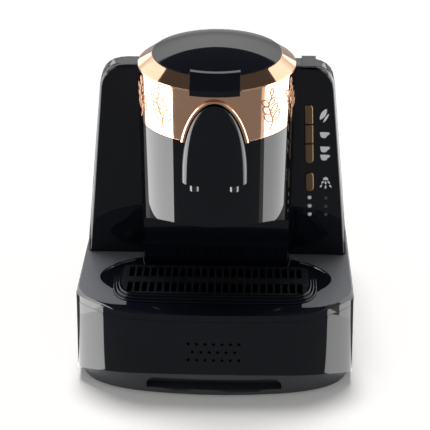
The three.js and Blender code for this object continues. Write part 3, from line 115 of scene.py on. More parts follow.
# Table. A matt white painted top that carries the machine and keeps its soft shadow; a faint glow
# in what is seen of it lifts it to the white of the room.
table_glow = 0.13
bpy.ops.mesh.primitive_plane_add(size=8, location=(0, 0, 0))
table = bpy.context.active_object
table.name = "table_top"
table_paint = bpy.data.materials.new("matt_white_table")
table_paint.use_nodes = True
tree = table_paint.node_tree
tree.nodes.clear()
lift = add(tree, "ShaderNodeMath", {0: seen(tree), 1: table_glow}, operation="MULTIPLY")
matt = add(tree, "ShaderNodeBsdfDiffuse", {"Color": linear("#f9f7f5")})
glow = add(tree, "ShaderNodeEmission", {"Color": white, "Strength": lift.outputs[0]})
both = add(tree, "ShaderNodeAddShader", {0: matt.outputs[0], 1: glow.outputs[0]})
add(tree, "ShaderNodeOutputMaterial", {"Surface": both.outputs[0]})
table.data.materials.append(table_paint)


# White cards. Tall ones stand close beside the machine, others behind its corners, and low ones lie
# next to its base, so that its round corners show upright streaks. Places are in metres.
def card(name, corners, near, far=None, along="Y"):
    """A card that only reflections see; its glow runs from near to far along one axis"""
    mesh = bpy.data.meshes.new(name)
    mesh.from_pydata(corners, [], [range(len(corners))])
    sheet = bpy.data.objects.new(name, mesh)
    scene.collection.objects.link(sheet)
    cloth = bpy.data.materials.new(name + "_cloth")
    cloth.use_nodes = True
    tree = cloth.node_tree
    tree.nodes.clear()
    spread = [corner["XYZ".index(along)] for corner in corners]
    place = add(tree, "ShaderNodeTexCoord")
    axes = add(tree, "ShaderNodeSeparateXYZ", {0: place.outputs["Object"]})
    run = add(tree, "ShaderNodeMapRange", {
        "Value": axes.outputs[along], "From Min": min(spread), "From Max": max(spread),
        "To Min": near, "To Max": near if far is None else far,
    })
    glow = add(tree, "ShaderNodeEmission", {"Color": white, "Strength": run.outputs[0]})
    add(tree, "ShaderNodeOutputMaterial", {"Surface": glow.outputs[0]})
    mesh.materials.append(cloth)
    sheet.visible_camera = sheet.visible_diffuse = sheet.visible_shadow = sheet.visible_transmission = False


aside = 0.25
lying = 0.004
bend = -0.09
raised = 0.06
card_top = 0.36
sides = ((-1, "left"), (1, "right"))
for side, word, front, rear, shine in ((-1, "left", -0.19, 0.155, 11), (1, "right", -0.145, 0.27, 6.6)):
    corners = ((front, lying), (bend, lying), (bend, raised), (rear, raised), (rear, card_top),
               (front, card_top))
    card(f"side_card_{word}", [(side * aside, y, z) for y, z in corners], shine, 2.2)
for side, word in sides:
    corners = ((0.34, 0.2, 0.32), (0.2, 0.31, 0.32), (0.2, 0.31, 0.4), (0.34, 0.2, 0.4))
    card(f"back_card_{word}", [(side * x, y, z) for x, y, z in corners], 2.2)
for side, word in sides:
    corners = ((0.42, 0.02, 0.46), (0.3, 0.28, 0.46), (0.3, 0.28, 0.68), (0.42, 0.02, 0.68))
    card(f"upper_card_{word}", [(side * x, y, z) for x, y, z in corners], 1.9)
for side, word, shine in ((-1, "left", 7.5), (1, "right", 5.6)):
    corners = ((0.137, -0.141), (aside, -0.181), (aside, bend), (0.137, bend))
    card(f"low_card_{word}", [(side * x, y, lying) for x, y in corners], shine)

# Dark cloth. It lies beside, before and behind the machine, stands behind the camera and hangs over
# it all, and keeps the rest of the gloss dark. A wall behind pales upwards for the dome of the lid.
for side, word in sides:
    corners = ((0.135, bend), (aside, bend), (aside, 0.2), (0.135, 0.2))
    card("dark_beside", [(side * x, y, lying) for x, y in corners], 0.4)
    corners = ((bend, lying), (0.2, lying), (0.2, raised), (bend, raised))
    card("dark_beside_low", [(side * (aside + 0.001), y, z) for y, z in corners], 0.4)
    corners = ((0.27, 0.1), (0.7, 0.1), (0.7, 1), (0.27, 1))
    card("dark_beside_rear", [(side * x, y, 0.003) for x, y in corners], 0.3)
before = [(-1.6, -2.5), (-1.6, -0.66), (-aside, -0.182), (-0.136, -0.142)]
before += [(-x, y) for x, y in before[::-1]]
card("dark_front", [(x, y, 0.002) for x, y in before], 0.3)
card("dark_behind_camera", [(-1.6, -2.2, 0), (1.6, -2.2, 0), (1.6, -2.2, 1.6), (-1.6, -2.2, 1.6)], 0.3)
wall = 1.3
wall_split = 0.42
behind = ((-0.7, 0.3), (0.7, 0.3), (2, wall), (-2, wall))
card("dark_table_behind", [(x, y, 0.0035) for x, y in behind], 0.25)
card("low_card_behind", [(-1.6, wall, lying), (1.6, wall, lying), (1.6, wall, wall_split),
                         (-1.6, wall, wall_split)], 0.45)
card("high_card_behind", [(-1.3, wall, wall_split), (1.3, wall, wall_split), (1.3, wall, 1.22),
                          (-1.3, wall, 1.22)], 0.42, 2.1, along="Z")
turns = [2 * math.pi * i / 64 for i in range(64)]
card("dark_ceiling", [(2 * math.cos(turn), 2 * math.sin(turn), 1.63) for turn in turns], 0.08)

# Overhead light. A soft bank straight above, wide enough for a shadow that fades out within a
# hand's width.
overhead = bpy.data.lights.new("wide_overhead", "SUN")
overhead.energy = 2.3
overhead.angle = math.radians(22)
bank = bpy.data.objects.new("wide_overhead", overhead)
bank.rotation_euler = (math.radians(-13), math.radians(-3), 0)
bank.visible_camera = False
bank.visible_glossy = False
scene.collection.objects.link(bank)

# Plinth. A shallow tray that carries the machine and is undercut at the front for the fingers.
# Moulded in black polypropylene with a spark-eroded grain, and screwed on from below. From here on
# sizes and places are in millimetres.
metre = 1000
weld = 0.01 / metre
coplanar = math.radians(0.4)


def pick(piece):
    """Selects one piece only, and makes it the active one"""
    bpy.ops.object.select_all(action="DESELECT")
    bpy.context.view_layer.objects.active = piece
    piece.select_set(True)


def finish_with(piece, kind, **settings):
    """A modifier added to a piece and applied"""
    pick(piece)
    change = piece.modifiers.new(kind.lower(), kind)
    for name, value in settings.items():
        setattr(change, name, value)
    bpy.ops.object.modifier_apply(modifier=change.name)


def settle(piece, skin, node, sharp=30, weight=60):
    """Smooths a finished piece, dresses it and lets it stand for its CAD node"""
    pick(piece)
    bpy.ops.object.shade_smooth_by_angle(angle=math.radians(sharp))
    finish_with(piece, "WEIGHTED_NORMAL", weight=weight, keep_sharp=True)
    piece.data.materials.clear()
    piece.data.materials.append(skin)
    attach(piece, frame["nodes"][node]["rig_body"])
    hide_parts(node)


def smoothed_copy(node, name, skin, sharp=30):
    """A copy of a CAD piece, merged and smoothed, that stands for the piece"""
    piece = bpy.data.objects.new(name, frame["nodes"][node].data.copy())
    scene.collection.objects.link(piece)
    pick(piece)
    bpy.ops.object.mode_set(mode="EDIT")
    bpy.ops.mesh.select_all(action="SELECT")
    bpy.ops.mesh.remove_doubles(threshold=weld)
    bpy.ops.mesh.dissolve_limited(angle_limit=coplanar)
    bpy.ops.object.mode_set(mode="OBJECT")
    settle(piece, skin, node, sharp, weight=100)
    return piece


def skin_of(name, dark, light, grain, smooth, rough, depth=0, **shine):
    """A plastic or metal skin whose tone, gloss and grain follow one cloudy pattern; grain is the
    width of its clouds and depth their height"""
    skin = bpy.data.materials.new(name)
    skin.use_nodes = True
    tree = skin.node_tree
    tree.nodes.clear()
    place = add(tree, "ShaderNodeTexCoord")
    cloud = add(tree, "ShaderNodeTexNoise",
                {"Vector": place.outputs["Object"], "Scale": metre / grain, "Detail": 3.0})
    tone = add(tree, "ShaderNodeValToRGB", {"Fac": cloud.outputs["Fac"]})
    tone.color_ramp.elements[0].color = linear(dark)
    tone.color_ramp.elements[1].color = linear(light)
    gloss = add(tree, "ShaderNodeMapRange",
                {"Value": cloud.outputs["Fac"], "To Min": smooth, "To Max": rough})
    sockets = {"Base Color": tone.outputs["Color"], "Roughness": gloss.outputs[0]}
    if depth:
        grains = add(tree, "ShaderNodeBump",
                     {"Height": cloud.outputs["Fac"], "Strength": 1.0, "Distance": depth / metre})
        sockets["Normal"] = grains.outputs[0]
    surface = add(tree, "ShaderNodeBsdfPrincipled", {**sockets, **shine})
    add(tree, "ShaderNodeOutputMaterial", {"Surface": surface.outputs[0]})
    return skin


# Polypropylene with an eroded grain, which scatters the light to an even dark grey. The real grain
# is finer than the 0.8 mm drawn here, which is what the render can show.
grained_black = skin_of("grained_black_polypropylene", "#34373b", "#3e4145", 0.8, 0.38, 0.5, depth=0.02)
smoothed_copy("plinth", "plinth_moulding", grained_black)


# Feet, screws and cord bush. Soft rubber feet plug into the plinth beside the plated steel screws
# that hold it; the rubber bush of the mains inlet sits in the rear wall.
def dress(skin, *names):
    """Gives CAD nodes that stay their finish"""
    for name in names:
        for i in range(len(frame["nodes"][name].data.materials)):
            frame["nodes"][name].data.materials[i] = skin


# Moulded rubber: a dull black with a matt skin, its grain drawn at 0.8 mm.
rubber = skin_of("black_rubber", "#141516", "#1b1c1e", 0.8, 0.7, 0.85, depth=0.03)

# Zinc plating on steel: pale grey and bright, with spangles of 3 mm.
zinc = skin_of("zinc_plated_steel", "#b8b9ba", "#c4c5c6", 3, 0.22, 0.3, Metallic=1)
dress(rubber, "foot_1", "foot_2", "foot_3", "foot_4", "cord_inlet")
dress(zinc, "screw_1", "screw_2", "screw_3", "screw_4")

# Base housing. One glossy wall round the machine, injection moulded in black ABS and polished, with
# three rows of speaker holes; it stands on the plinth and the deck closes it.
body_half = 132
body_front = -142
body_rear = 142
corner_width = 56
corner_depth = 38
corner_cut_across = 0.71
corner_cut_along = 0.87
front_bow = 3.4
rear_radius = 24
body_flare = 2.5
housing_wall = 3
housing_foot = 5
housing_top = 91.2
deck_seam = 91.5
undercut_place = -88.6
undercut_slope = 0.515
vent_rows = (7, 6, 7)
vent_pitch = 7.95
vent_rise = 9
vent_height = 57.95
vent_radius = 1.6
inlet_place = -80
inlet_height = 30
port_radius = 7.3
port_sides = 32
drill_out = 8
drill_in = 12
wall_steps = 21
bow_steps = 20
bend_steps = 12
side_steps = 12
round_steps = 10
rear_steps = 8


def plan(side, front, rear, width, depth, bow, radius, cut_width=0.5, cut_depth=0.5):
    """Plan of base, deck or tray: bowed front, cut front corners, round rear corners"""
    shoulder = side - width
    side_cut = front + bow + cut_depth * (depth - bow)
    front_cut = side - cut_width * width
    front_cut_y = front + bow + (front_cut - shoulder) * 2 * bow / shoulder
    middle = ((side + front_cut) / 2, (side_cut + front_cut_y) / 2)

    def curve(a, b, c, first, last, count):
        shares = [first + (last - first) * i / count for i in range(count)]
        return [[(1 - t) ** 2 * a[k] + 2 * t * (1 - t) * b[k] + t * t * c[k] for k in (0, 1)] for t in shares]

    half = curve((-shoulder, front + bow), (0, front - bow), (shoulder, front + bow), 0.5, 1, bow_steps)
    half += curve((shoulder, front + bow), (front_cut, front_cut_y), middle, 0, 1, bend_steps)
    half += curve(middle, (side, side_cut), (side, front + depth), 0, 1, bend_steps)
    for i in range(side_steps):
        half.append([side, front + depth + (rear - radius - front - depth) * i / side_steps])
    for i in range(round_steps):
        turn = math.pi / 2 * i / round_steps
        half.append([side - radius + radius * math.cos(turn), rear - radius + radius * math.sin(turn)])
    half += [[(side - radius) * (1 - i / rear_steps), rear] for i in range(rear_steps)]
    return half + [[0, rear]] + [[-x, y] for x, y in half[:0:-1]]


def body_plan(flare=0, inset=0):
    """Plan of the body, wider by a flare, or smaller by an inset"""
    return plan(
        body_half + flare - inset, body_front + inset, body_rear - inset, corner_width + flare - inset,
        corner_depth - inset, front_bow, rear_radius - inset, corner_cut_across, corner_cut_along,
    )


def loft(name, rings, caps=True):
    """A skin through rings of points: a circle laid on the first ring, extruded to each next one"""
    bpy.ops.object.select_all(action="DESELECT")
    bpy.ops.mesh.primitive_circle_add(vertices=len(rings[0]), radius=1, location=(0, 0, 0))
    piece = bpy.context.active_object
    piece.name = name
    for vertex, point in zip(piece.data.vertices, rings[0]):
        vertex.co = Vector(point) / metre
    count = len(rings[0])
    for ring in rings[1:]:
        old = [vertex.co.copy() for vertex in piece.data.vertices][-count:]
        bpy.ops.object.mode_set(mode="EDIT")
        bpy.ops.mesh.extrude_region_move()
        bpy.ops.object.mode_set(mode="OBJECT")
        new = piece.data.vertices[-count:]
        assert all((vertex.co - place).length < 1e-7 for vertex, place in zip(new, old))
        for vertex, point in zip(new, ring):
            vertex.co = Vector(point) / metre
    bpy.ops.object.mode_set(mode="EDIT")
    bpy.ops.mesh.select_all(action="SELECT")
    bpy.ops.mesh.remove_doubles(threshold=weld)
    if caps:
        bpy.ops.mesh.fill_holes(sides=0)
    bpy.ops.mesh.select_all(action="SELECT")
    bpy.ops.mesh.normals_make_consistent(inside=False)
    bpy.ops.object.mode_set(mode="OBJECT")
    return piece


def cut(piece, cutter, operation="DIFFERENCE"):
    """Cuts a piece with a cutter, or joins them, and clears the cutter away"""
    finish_with(piece, "BOOLEAN", object=cutter, operation=operation, solver="EXACT")
    bpy.data.objects.remove(cutter)


def bisected(piece, place, normal, fill=True):
    """Cuts away what lies past a plane"""
    pick(piece)
    bpy.ops.object.mode_set(mode="EDIT")
    bpy.ops.mesh.select_all(action="SELECT")
    bpy.ops.mesh.bisect(plane_co=Vector(place) / metre, plane_no=normal, use_fill=fill, clear_outer=True)
    bpy.ops.object.mode_set(mode="OBJECT")


def ease(piece, width, segments, sharp):
    """Rolls every edge of a piece that turns by more than an angle"""
    finish_with(piece, "BEVEL", width=width / metre, segments=segments, limit_method="ANGLE",
                angle_limit=math.radians(sharp))


def rod(radius, start, end, sides=20):
    """A round bar from one point to another"""
    start, end = Vector(start), Vector(end)
    length = (end - start).length
    turn = (end - start).to_track_quat("Z", "Y")
    bpy.ops.mesh.primitive_cylinder_add(vertices=sides, radius=radius / metre, depth=length / metre)
    bar = bpy.context.active_object
    bar.data.transform(Matrix.Translation((start + end) / 2 / metre) @ turn.to_matrix().to_4x4())
    return bar


# ABS from a polished mould: a near mirror over a blue black. Its flow marks, some 40 mm wide, stir
# the mirror image only a little.
polished_black = skin_of("polished_black_abs", "#0b0e15", "#0f1219", 40, 0.01, 0.025,
                         **{"Specular IOR Level": 0.3})
housing_rings = []
for i in range(wall_steps + 1):
    height = housing_foot + (housing_top - housing_foot) * i / wall_steps
    flare = body_flare * (deck_seam - height) / (deck_seam - housing_foot)
    housing_rings.append([(x, y, height) for x, y in body_plan(flare)])
housing = loft("base_wall", housing_rings, caps=False)
bisected(housing, (0, undercut_place, housing_foot), (0, -undercut_slope, -1), fill=False)
finish_with(housing, "SOLIDIFY", thickness=housing_wall / metre, offset=-1, use_even_offset=True)
ease(housing, 0.5, 2, 55)
for row, count in enumerate(vent_rows):
    for i in range(count):
        x, z = (i - (count - 1) / 2) * vent_pitch, vent_height + (row - 1) * vent_rise
        cut(housing, rod(vent_radius, (x, body_front - drill_out, z), (x, body_front + drill_in, z)))
cut(housing, rod(port_radius, (inlet_place, body_rear - drill_in, inlet_height),
                 (inlet_place, body_rear + drill_out, inlet_height), port_sides))
settle(housing, polished_black, "base_housing")
dress(grained_black, "speaker")

# Deck cover. Polished black ABS moulded in one, with a dish in the middle; its shoulders carry a painted
# reflection, a satin grey standing in for the light their gloss would mirror. The painted reflection stops at
# the rim of the dish and at the apron that rolls down along the front.
deck_height = 101
roll_foot = 98.7
roll_rise = 2.3
deck_under = 96
dish_centre = -76
dish_half = 115
dish_reach = 50
dish_widening = 0.025
head_centre = -34
head_radius = 73
column_slip = 0.5
column_flat = -56.5
round_sides = 144
dish_sides = 160
tray_half = 97
tray_front = -125
tray_rear = -58
tray_corner_width = 27
tray_corner_depth = 32
tray_bow = 0.6
tray_rear_radius = 14
least_radius = 1
well_inset = 4.1
well_wall = 2
well_bottom = 67.8
tray_slip = 0.5
recess_floor = 99
below = 80
above = 110
pass_half = 95
pass_front = -16
pass_rear = 44
valve_place = 100
bare_front = -118
bare_half = 82
facing_up = 0.99
skin_depth = 0.1

# Painted reflection over the moulding: a soft mid grey laid on like satin paint, standing in for the grey
# light that the glossy black shoulders would mirror. Its orange peel, drawn at 0.9 mm, blurs the light.
painted_reflection_grey = skin_of("satin_grey_painted_reflection", "#54555a", "#5b5c61", 0.9, 0.42, 0.5, depth=0.008)
seam = body_plan()
top = plan(side=130.4, front=-126.5, rear=140.4, width=44, depth=41.5, bow=0.5, radius=22.4)
deck_rings = [[(x, y, z) for x, y in seam] for z in (deck_seam, 93.5, deck_under, 98, 98.5)]
for share in (0.02, 0.08, 0.2, 0.35, 0.5, 0.65, 0.8, 0.92, 1):
    height = roll_foot + roll_rise * math.sin(share * math.pi / 2)
    deck_rings.append([(a + (c - a) * share, b + (d - b) * share, height)
                       for (a, b), (c, d) in zip(seam, top)])
deck = loft("deck_moulding", deck_rings)


def tray_plan(inset):
    """Plan of the drip tray, smaller by an inset"""
    return plan(
        tray_half - inset, tray_front + inset, tray_rear - inset, tray_corner_width - inset,
        tray_corner_depth - inset, tray_bow, max(tray_rear_radius - inset, least_radius),
    )


def slab(outline, low, high):
    """An upright block with a given plan"""
    return loft("cutter", [[(x, y, z) for x, y in outline] for z in (low, high)])


cut(deck, slab(body_plan(inset=housing_wall), below, deck_under))
dish_profile = [(recess_floor, 0.918), (99.12, 0.929), (99.5, 0.936), (100.5, 0.942), (100.88, 0.948),
                (deck_height, 0.958), (103, 1)]
turns = [2 * math.pi * i / dish_sides for i in range(dish_sides)]
dish_rings = []
for height, share in dish_profile:
    across, along = dish_half * (share + dish_widening), dish_reach * share
    dish_rings.append([(across * math.cos(turn), dish_centre + along * math.sin(turn), height)
                       for turn in turns])
dish = loft("dish_cutter", dish_rings)
column_foot = rod(head_radius + column_slip, (0, head_centre, below), (0, head_centre, above), round_sides)
bisected(column_foot, (0, column_flat, 0), (0, -1, 0))
cut(dish, column_foot)
cut(deck, dish)
cut(deck, slab(tray_plan(well_inset), well_bottom, recess_floor), "UNION")
cut(deck, slab(tray_plan(well_inset + well_wall), well_bottom + well_wall, above))
cut(deck, slab(tray_plan(-tray_slip), recess_floor, above))
cut(deck, slab([(pass_half, pass_front), (pass_half, pass_rear), (-pass_half, pass_rear),
                (-pass_half, pass_front)], below, above))
cut(deck, rod(port_radius, (0, valve_place, below), (0, valve_place, above), port_sides))

# The painted reflection leaves a bare strip of dark gloss before the tray, so edges are drawn along which it
# ends.
bpy.ops.object.mode_set(mode="EDIT")
for place, normal in (((0, bare_front, 0), (0, 1, 0)), ((-bare_half, 0, 0), (1, 0, 0)),
                      ((bare_half, 0, 0), (1, 0, 0))):
    bpy.ops.mesh.select_all(action="SELECT")
    bpy.ops.mesh.bisect(plane_co=Vector(place) / metre, plane_no=normal)
bpy.ops.object.mode_set(mode="OBJECT")
settle(deck, polished_black, "deck_cover")
# Upward faces of the shoulders take the painted reflection; the dish, the apron and the bare strip keep the
# plain gloss.
deck.data.materials.append(painted_reflection_grey)
for face in deck.data.polygons:
    place = face.center * metre
    before_tray = place.y < bare_front and abs(place.x) < bare_half
    if face.normal.z > facing_up and place.z > deck_height - skin_depth and not before_tray:
        face.material_index = 1

# Drip tray. A pan with a rim of three polished steps that lifts out of its well in the deck; each
# step has an eased edge, which draws a fine bright line round the front corners.
tread = 2.6
riser = 2
step_edge = 0.5
first_step = 102
rim_foot = 99.3
pan_inset = 6.6
pan_wall = 2
pan_bottom = 70.3
rim_inset = 7
rim_top = 106.5
ledge = 103.7
tray_profile = [(pan_inset, pan_bottom), (pan_inset, rim_foot), (0, rim_foot)]
for step in range(3):
    for turn in (0, 22, 45, 67, 90):
        turn = math.radians(turn)
        tray_profile.append((tread * step + step_edge - step_edge * math.cos(turn),
                             first_step + riser * step + step_edge * math.sin(turn)))
    if step < 2:
        tray_profile.append((tread * step + tread, first_step + step_edge + riser * step))
tray_profile += [(rim_inset, rim_top), (rim_inset + 0.2, rim_top - 0.2), (rim_inset + 0.2, ledge),
                 (pan_inset + pan_wall, ledge), (pan_inset + pan_wall, pan_bottom + pan_wall)]
tray = loft("drip_pan", [[(x, y, height) for x, y in tray_plan(inset)] for inset, height in tray_profile])
settle(tray, polished_black, "drip_tray", 35)

# Cup grille. A drop-in plate with two rows of slots either side of a plain bar, moulded in black
# ABS; it lies on the ledge inside the rim of the tray.

# ABS from a lightly etched mould: a satin black that blurs what it mirrors, in patches of 20 mm.
slotted_black = skin_of("satin_black_abs", "#131519", "#191b20", 20, 0.2, 0.28)
smoothed_copy("cup_grille", "slotted_plate", slotted_black)

# Column. A round polished shell under the band, moulded in black ABS and hollowed at the front
# for the cups; it stands on the deck against the tower.
column_wall = 3
column_low = 101.3
column_rise = 155.9
column_rear = -22.3
bay_half = 76
bay_foot = 90
bay_rise = 72
bay_roundness = 0.5
bay_front = -115
bay_rear = -56
bay_wall = 3
bay_roof = 180
drum_floor = 184
drum_clear = 264
nozzle_place = 18
nozzle_height = 232
nozzle_hole = 3.3
nozzle_ends = (-120, -84)
column_steps = 38
arch_steps = 48
facing_out = 0.995
skin_reach = 0.2


def circle(radius, height):
    """Ring of points round the axis of the brewing head"""
    turns = [2 * math.pi * i / round_sides for i in range(round_sides)]
    return [(radius * math.cos(turn), head_centre + radius * math.sin(turn), height) for turn in turns]


def turned_normals(piece, radius):
    """Gives the round wall of a cut piece the normals of the full cylinder, so its gloss stays even"""
    mesh = piece.data
    axis = head_centre / metre
    normals = [Vector(corner.vector) for corner in mesh.corner_normals]
    for face in mesh.polygons:
        out = Vector((face.center.x, face.center.y - axis, 0))
        on_wall = abs(out.length - radius / metre) < skin_reach / metre
        if on_wall and face.normal.dot(out.normalized()) > facing_out:
            for i in face.loop_indices:
                place = mesh.vertices[mesh.loops[i].vertex_index].co
                normals[i] = Vector((place.x, place.y - axis, 0)).normalized()
    mesh.normals_split_custom_set(normals)


column_heights = [column_low + column_rise * i / column_steps for i in range(column_steps + 1)]
column = loft("column_shell", [circle(head_radius, height) for height in column_heights])
bisected(column, (0, column_rear, 0), (0, 1, 0))
arch = [(bay_half, bay_foot)]
for i in range(arch_steps + 1):
    turn = math.pi * i / arch_steps
    reach = math.copysign(abs(math.cos(turn)) ** bay_roundness, math.cos(turn))
    arch.append((bay_half * reach, deck_height + bay_rise * max(math.sin(turn), 0) ** bay_roundness))
arch.append((-bay_half, bay_foot))
cut(column, loft("bay", [[(x, y, z) for x, z in arch] for y in (bay_front, bay_rear)]))
inside = head_radius - column_wall
hollow = rod(inside, (0, head_centre, bay_foot), (0, head_centre, bay_roof), round_sides)
bisected(hollow, (0, bay_rear + bay_wall, 0), (0, -1, 0))
cut(column, hollow)
cut(column, rod(inside, (0, head_centre, drum_floor), (0, head_centre, drum_clear), round_sides))
for x in (-nozzle_place, nozzle_place):
    cut(column, rod(nozzle_hole, *[(x, y, nozzle_height) for y in nozzle_ends]))
settle(column, polished_black, "column_cover")
turned_normals(column, head_radius)

# Brewing drum and pot. A moulded drum hangs inside the column and holds a drawn steel pot over its
# heater; a manifold clipped to the pot leads to the two nozzles.

# Stainless steel, drawn and brushed: a light grey metal with a soft sheen, uneven over 3 mm.
bare_steel = skin_of("brushed_stainless_steel", "#b8b9ba", "#c6c7c8", 3, 0.22, 0.3, Metallic=1)
dress(grained_black, "brew_drum", "pot_collar", "nozzle_manifold")
dress(bare_steel, "brew_pot", "heater_plate", "temperature_sensor")

# Copper band. Steel sheet rolled round, copper plated and mirror polished, which wraps the head
# above the column and is held by the ring on top of it.
band_foot = 257.5
band_top = 307
band_edge = 0.4
band_corner = 0.12
band_steps = 8

# Polished copper plating: a warm rose mirror, a little uneven over some 30 mm.
polished_copper = skin_of("polished_copper_plate", "#d9ab8c", "#e0b498", 30, 0.05, 0.08, Metallic=1)
wall_height = band_top - band_foot - 2 * band_edge
band_profile = [(inside, band_foot), (head_radius - band_edge, band_foot)]
band_profile += [(head_radius - band_corner, band_foot + band_corner)]
band_profile += [(head_radius, band_foot + band_edge + wall_height * i / band_steps)
                 for i in range(band_steps + 1)]
band_profile += [(head_radius - band_corner, band_top - band_corner), (head_radius - band_edge, band_top)]
band_profile += [(inside, band_top), (inside, band_foot)]
band = loft("copper_band_sheet", [circle(*point) for point in band_profile], caps=False)
settle(band, polished_copper, "copper_band", 40)

# Relief of the band. Leaf sprigs embossed in the sheet from behind before it is rolled, two either
# side of the front, under the same plating.
sprig_places = ((-69, 2), (-43, -2), (43, 2), (69, -2))
sprig_height = 282.5
relief_radius = 72.7
relief_line = 0.8
stem_foot = -19
stem_length = 32
stem_wave = 3
stem_steps = 12
leaves = ((3, -1, 13), (3, 1, 13), (6, -1, 12), (6, 1, 12), (9, -1, 10), (9, 1, 10), (12, 0, 8))
leaf_spread = 52
leaf_bulge = 0.24
leaf_steps = 8

# Embossed copper plating: too narrow to polish, so it stays a duller brown than the sheet.
embossed_copper = skin_of("embossed_copper_plate", "#7c5e48", "#8a6a52", 4, 0.26, 0.34, Metallic=1)


def sprig(centre, lean):
    """Lines of one sprig, as places along the band and up it; a leaf has its step on the stem, its
    side and its length"""
    stem = []
    for step in range(stem_steps + 1):
        share = step / stem_steps
        stem.append((stem_wave * math.sin(2 * math.pi * share) + lean * (share - 0.5),
                     stem_foot + stem_length * share))
    lines = [stem]
    for foot, side, length in leaves:
        x, z = stem[foot]
        turn = math.radians(90 - leaf_spread * side)
        along = (math.cos(turn), math.sin(turn))
        leaf = []
        for k in range(2 * leaf_steps + 1):
            share = k / leaf_steps if k <= leaf_steps else 2 - k / leaf_steps
            bulge = (1 if k <= leaf_steps else -1) * leaf_bulge * length * math.sin(math.pi * share) ** 0.8
            leaf.append((x + share * length * along[0] - bulge * along[1],
                         z + share * length * along[1] + bulge * along[0]))
        lines.append(leaf)
    return [[(centre + x, z) for x, z in line] for line in lines]


relief = bpy.data.curves.new("band_relief", "CURVE")
relief.dimensions = "3D"
relief.bevel_depth = relief_line / metre
relief.bevel_resolution = 2
for degrees, lean in sprig_places:
    for line in sprig(head_radius * math.radians(degrees), lean):
        path = relief.splines.new("POLY")
        path.points.add(len(line) - 1)
        for point, (run, rise) in zip(path.points, line):
            turn = run / head_radius
            x, y = relief_radius * math.sin(turn), head_centre - relief_radius * math.cos(turn)
            point.co = (x / metre, y / metre, (sprig_height + rise) / metre, 1)
sprigs = bpy.data.objects.new("band_relief", relief)
scene.collection.objects.link(sprigs)
pick(sprigs)
bpy.ops.object.convert(target="MESH")
bpy.ops.object.shade_smooth_by_angle(angle=math.radians(60))
sprigs.data.materials.append(embossed_copper)
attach(sprigs, frame["nodes"]["copper_band"]["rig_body"])

# Bevelled ring. A turned ring plated like the band, which closes the head round its mouth; a notch
# at the rear leaves room for the arm of the lid.
slope_foot = (72.8, 307.75)
slope_head = (60.4, 316.3)
slope_steps = 6
notch_half = 16.5
notch_rear = 60
notch_low = 300
notch_high = 320
ring_profile = [(68, 307.3), (72.5, 307.3), (72.85, 307.42)]
ring_profile += [tuple(a + (b - a) * i / slope_steps for a, b in zip(slope_foot, slope_head))
                 for i in range(slope_steps + 1)]
ring_profile += [(60, 316.5), (58.3, 316.5), (58, 316.2), (58, 311.5), (68, 307.3)]
bevel = loft("bevelled_ring", [circle(*point) for point in ring_profile], caps=False)
notch = [(notch_half, 0), (notch_half, notch_rear), (-notch_half, notch_rear), (-notch_half, 0)]
cut(bevel, slab(notch, notch_low, notch_high))
settle(bevel, polished_copper, "bevel_ring", 35)

# Lid. A low dome with a wide finger tab over the bevel, moulded in black ABS and polished; an arm
# at the rear turns on the hinge pin, and a liner and seal are clipped under it.
dome_radius = 59.85
dome_rise = 12
dome_top = 328.8
dome_brim = 59.5
liner_radius = 53.6
liner_rise = 9.4
liner_top = 326.2
tab_spread = 25
tab_half = 22.3
arm_half = 9.5
hinge_place = 31
hinge_height = 310.3
barrel_radius = 3
pin_hole = 1.65
pin_half = 12
dome_steps = 29
liner_steps = 8
tab_steps = 32


def sphere_radius(radius, rise):
    """Radius of the sphere whose cap has a given radius and rise"""
    return (radius ** 2 + rise ** 2) / (2 * rise)


def cap_point(sphere, top, brim, share):
    """A point of a cap's profile, from its top at share 0 to its brim at share 1"""
    turn = math.asin(brim / sphere) * share
    return (sphere * math.sin(turn), top - sphere * (1 - math.cos(turn)))


outer = sphere_radius(dome_radius, dome_rise)
inner = sphere_radius(liner_radius, liner_rise)
lid_profile = [cap_point(outer, dome_top, dome_brim, i / dome_steps) for i in range(dome_steps + 1)]
lid_profile += [(59.8, 316.95), (59.6, 316.8), (55.8, 316.8), (55.8, 310), (liner_radius, 310)]
lid_profile += [cap_point(inner, liner_top, liner_radius, i / liner_steps)
                for i in range(liner_steps, -1, -1)]
lid = loft("lid_dome", [circle(*point) for point in lid_profile], caps=False)
tab_section = [(54.85, 316.8), (60.15, 317.1), (73.3, 307.6), (73.3, 303.5), (76.3, 303.5), (76.3, 309),
               (73, 310), (59.85, 319.4), (54.85, 319.4)]
tab_rings = []
for i in range(tab_steps + 1):
    turn = math.radians(-tab_spread + 2 * tab_spread * i / tab_steps)
    tab_rings.append([(r * math.sin(turn), head_centre - r * math.cos(turn), z) for r, z in tab_section])
tab = loft("finger_tab", tab_rings)
bisected(tab, (tab_half, 0, 0), (1, 0, 0))
bisected(tab, (-tab_half, 0, 0), (-1, 0, 0))
ease(tab, 0.4, 2, 25)
cut(lid, tab, "UNION")
arm = [(19.6, 310), (21.8, 310), (31, 307.3), (31, 313.3), (25.85, 316.8), (19.6, 316.8)]
cut(lid, loft("arm", [[(x, y, z) for y, z in arm] for x in (-arm_half, arm_half)]), "UNION")
barrel_ends = [(x, hinge_place, hinge_height) for x in (-arm_half, arm_half)]
cut(lid, rod(barrel_radius, *barrel_ends, sides=32), "UNION")
pin_ends = [(x, hinge_place, hinge_height) for x in (-pin_half, pin_half)]
cut(lid, rod(pin_hole, *pin_ends, sides=24))
settle(lid, polished_black, "lid_shell")
dress(grained_black, "lid_liner", "hinge_block")
dress(rubber, "lid_seal")
dress(zinc, "hinge_pin")

# Pouring shield. A glossy arched cover of polished black ABS over two short nozzles; its crowned
# front turns back at the edges and is clipped to the column.
shield_half = 29.5
shield_foot = 220
shield_straight = 8
shield_arch = 68
nose_centre = -81
nose_radius = 37
nose_taper = 6
straight_share = 0.15
crown_power = 3
seat = 0.3

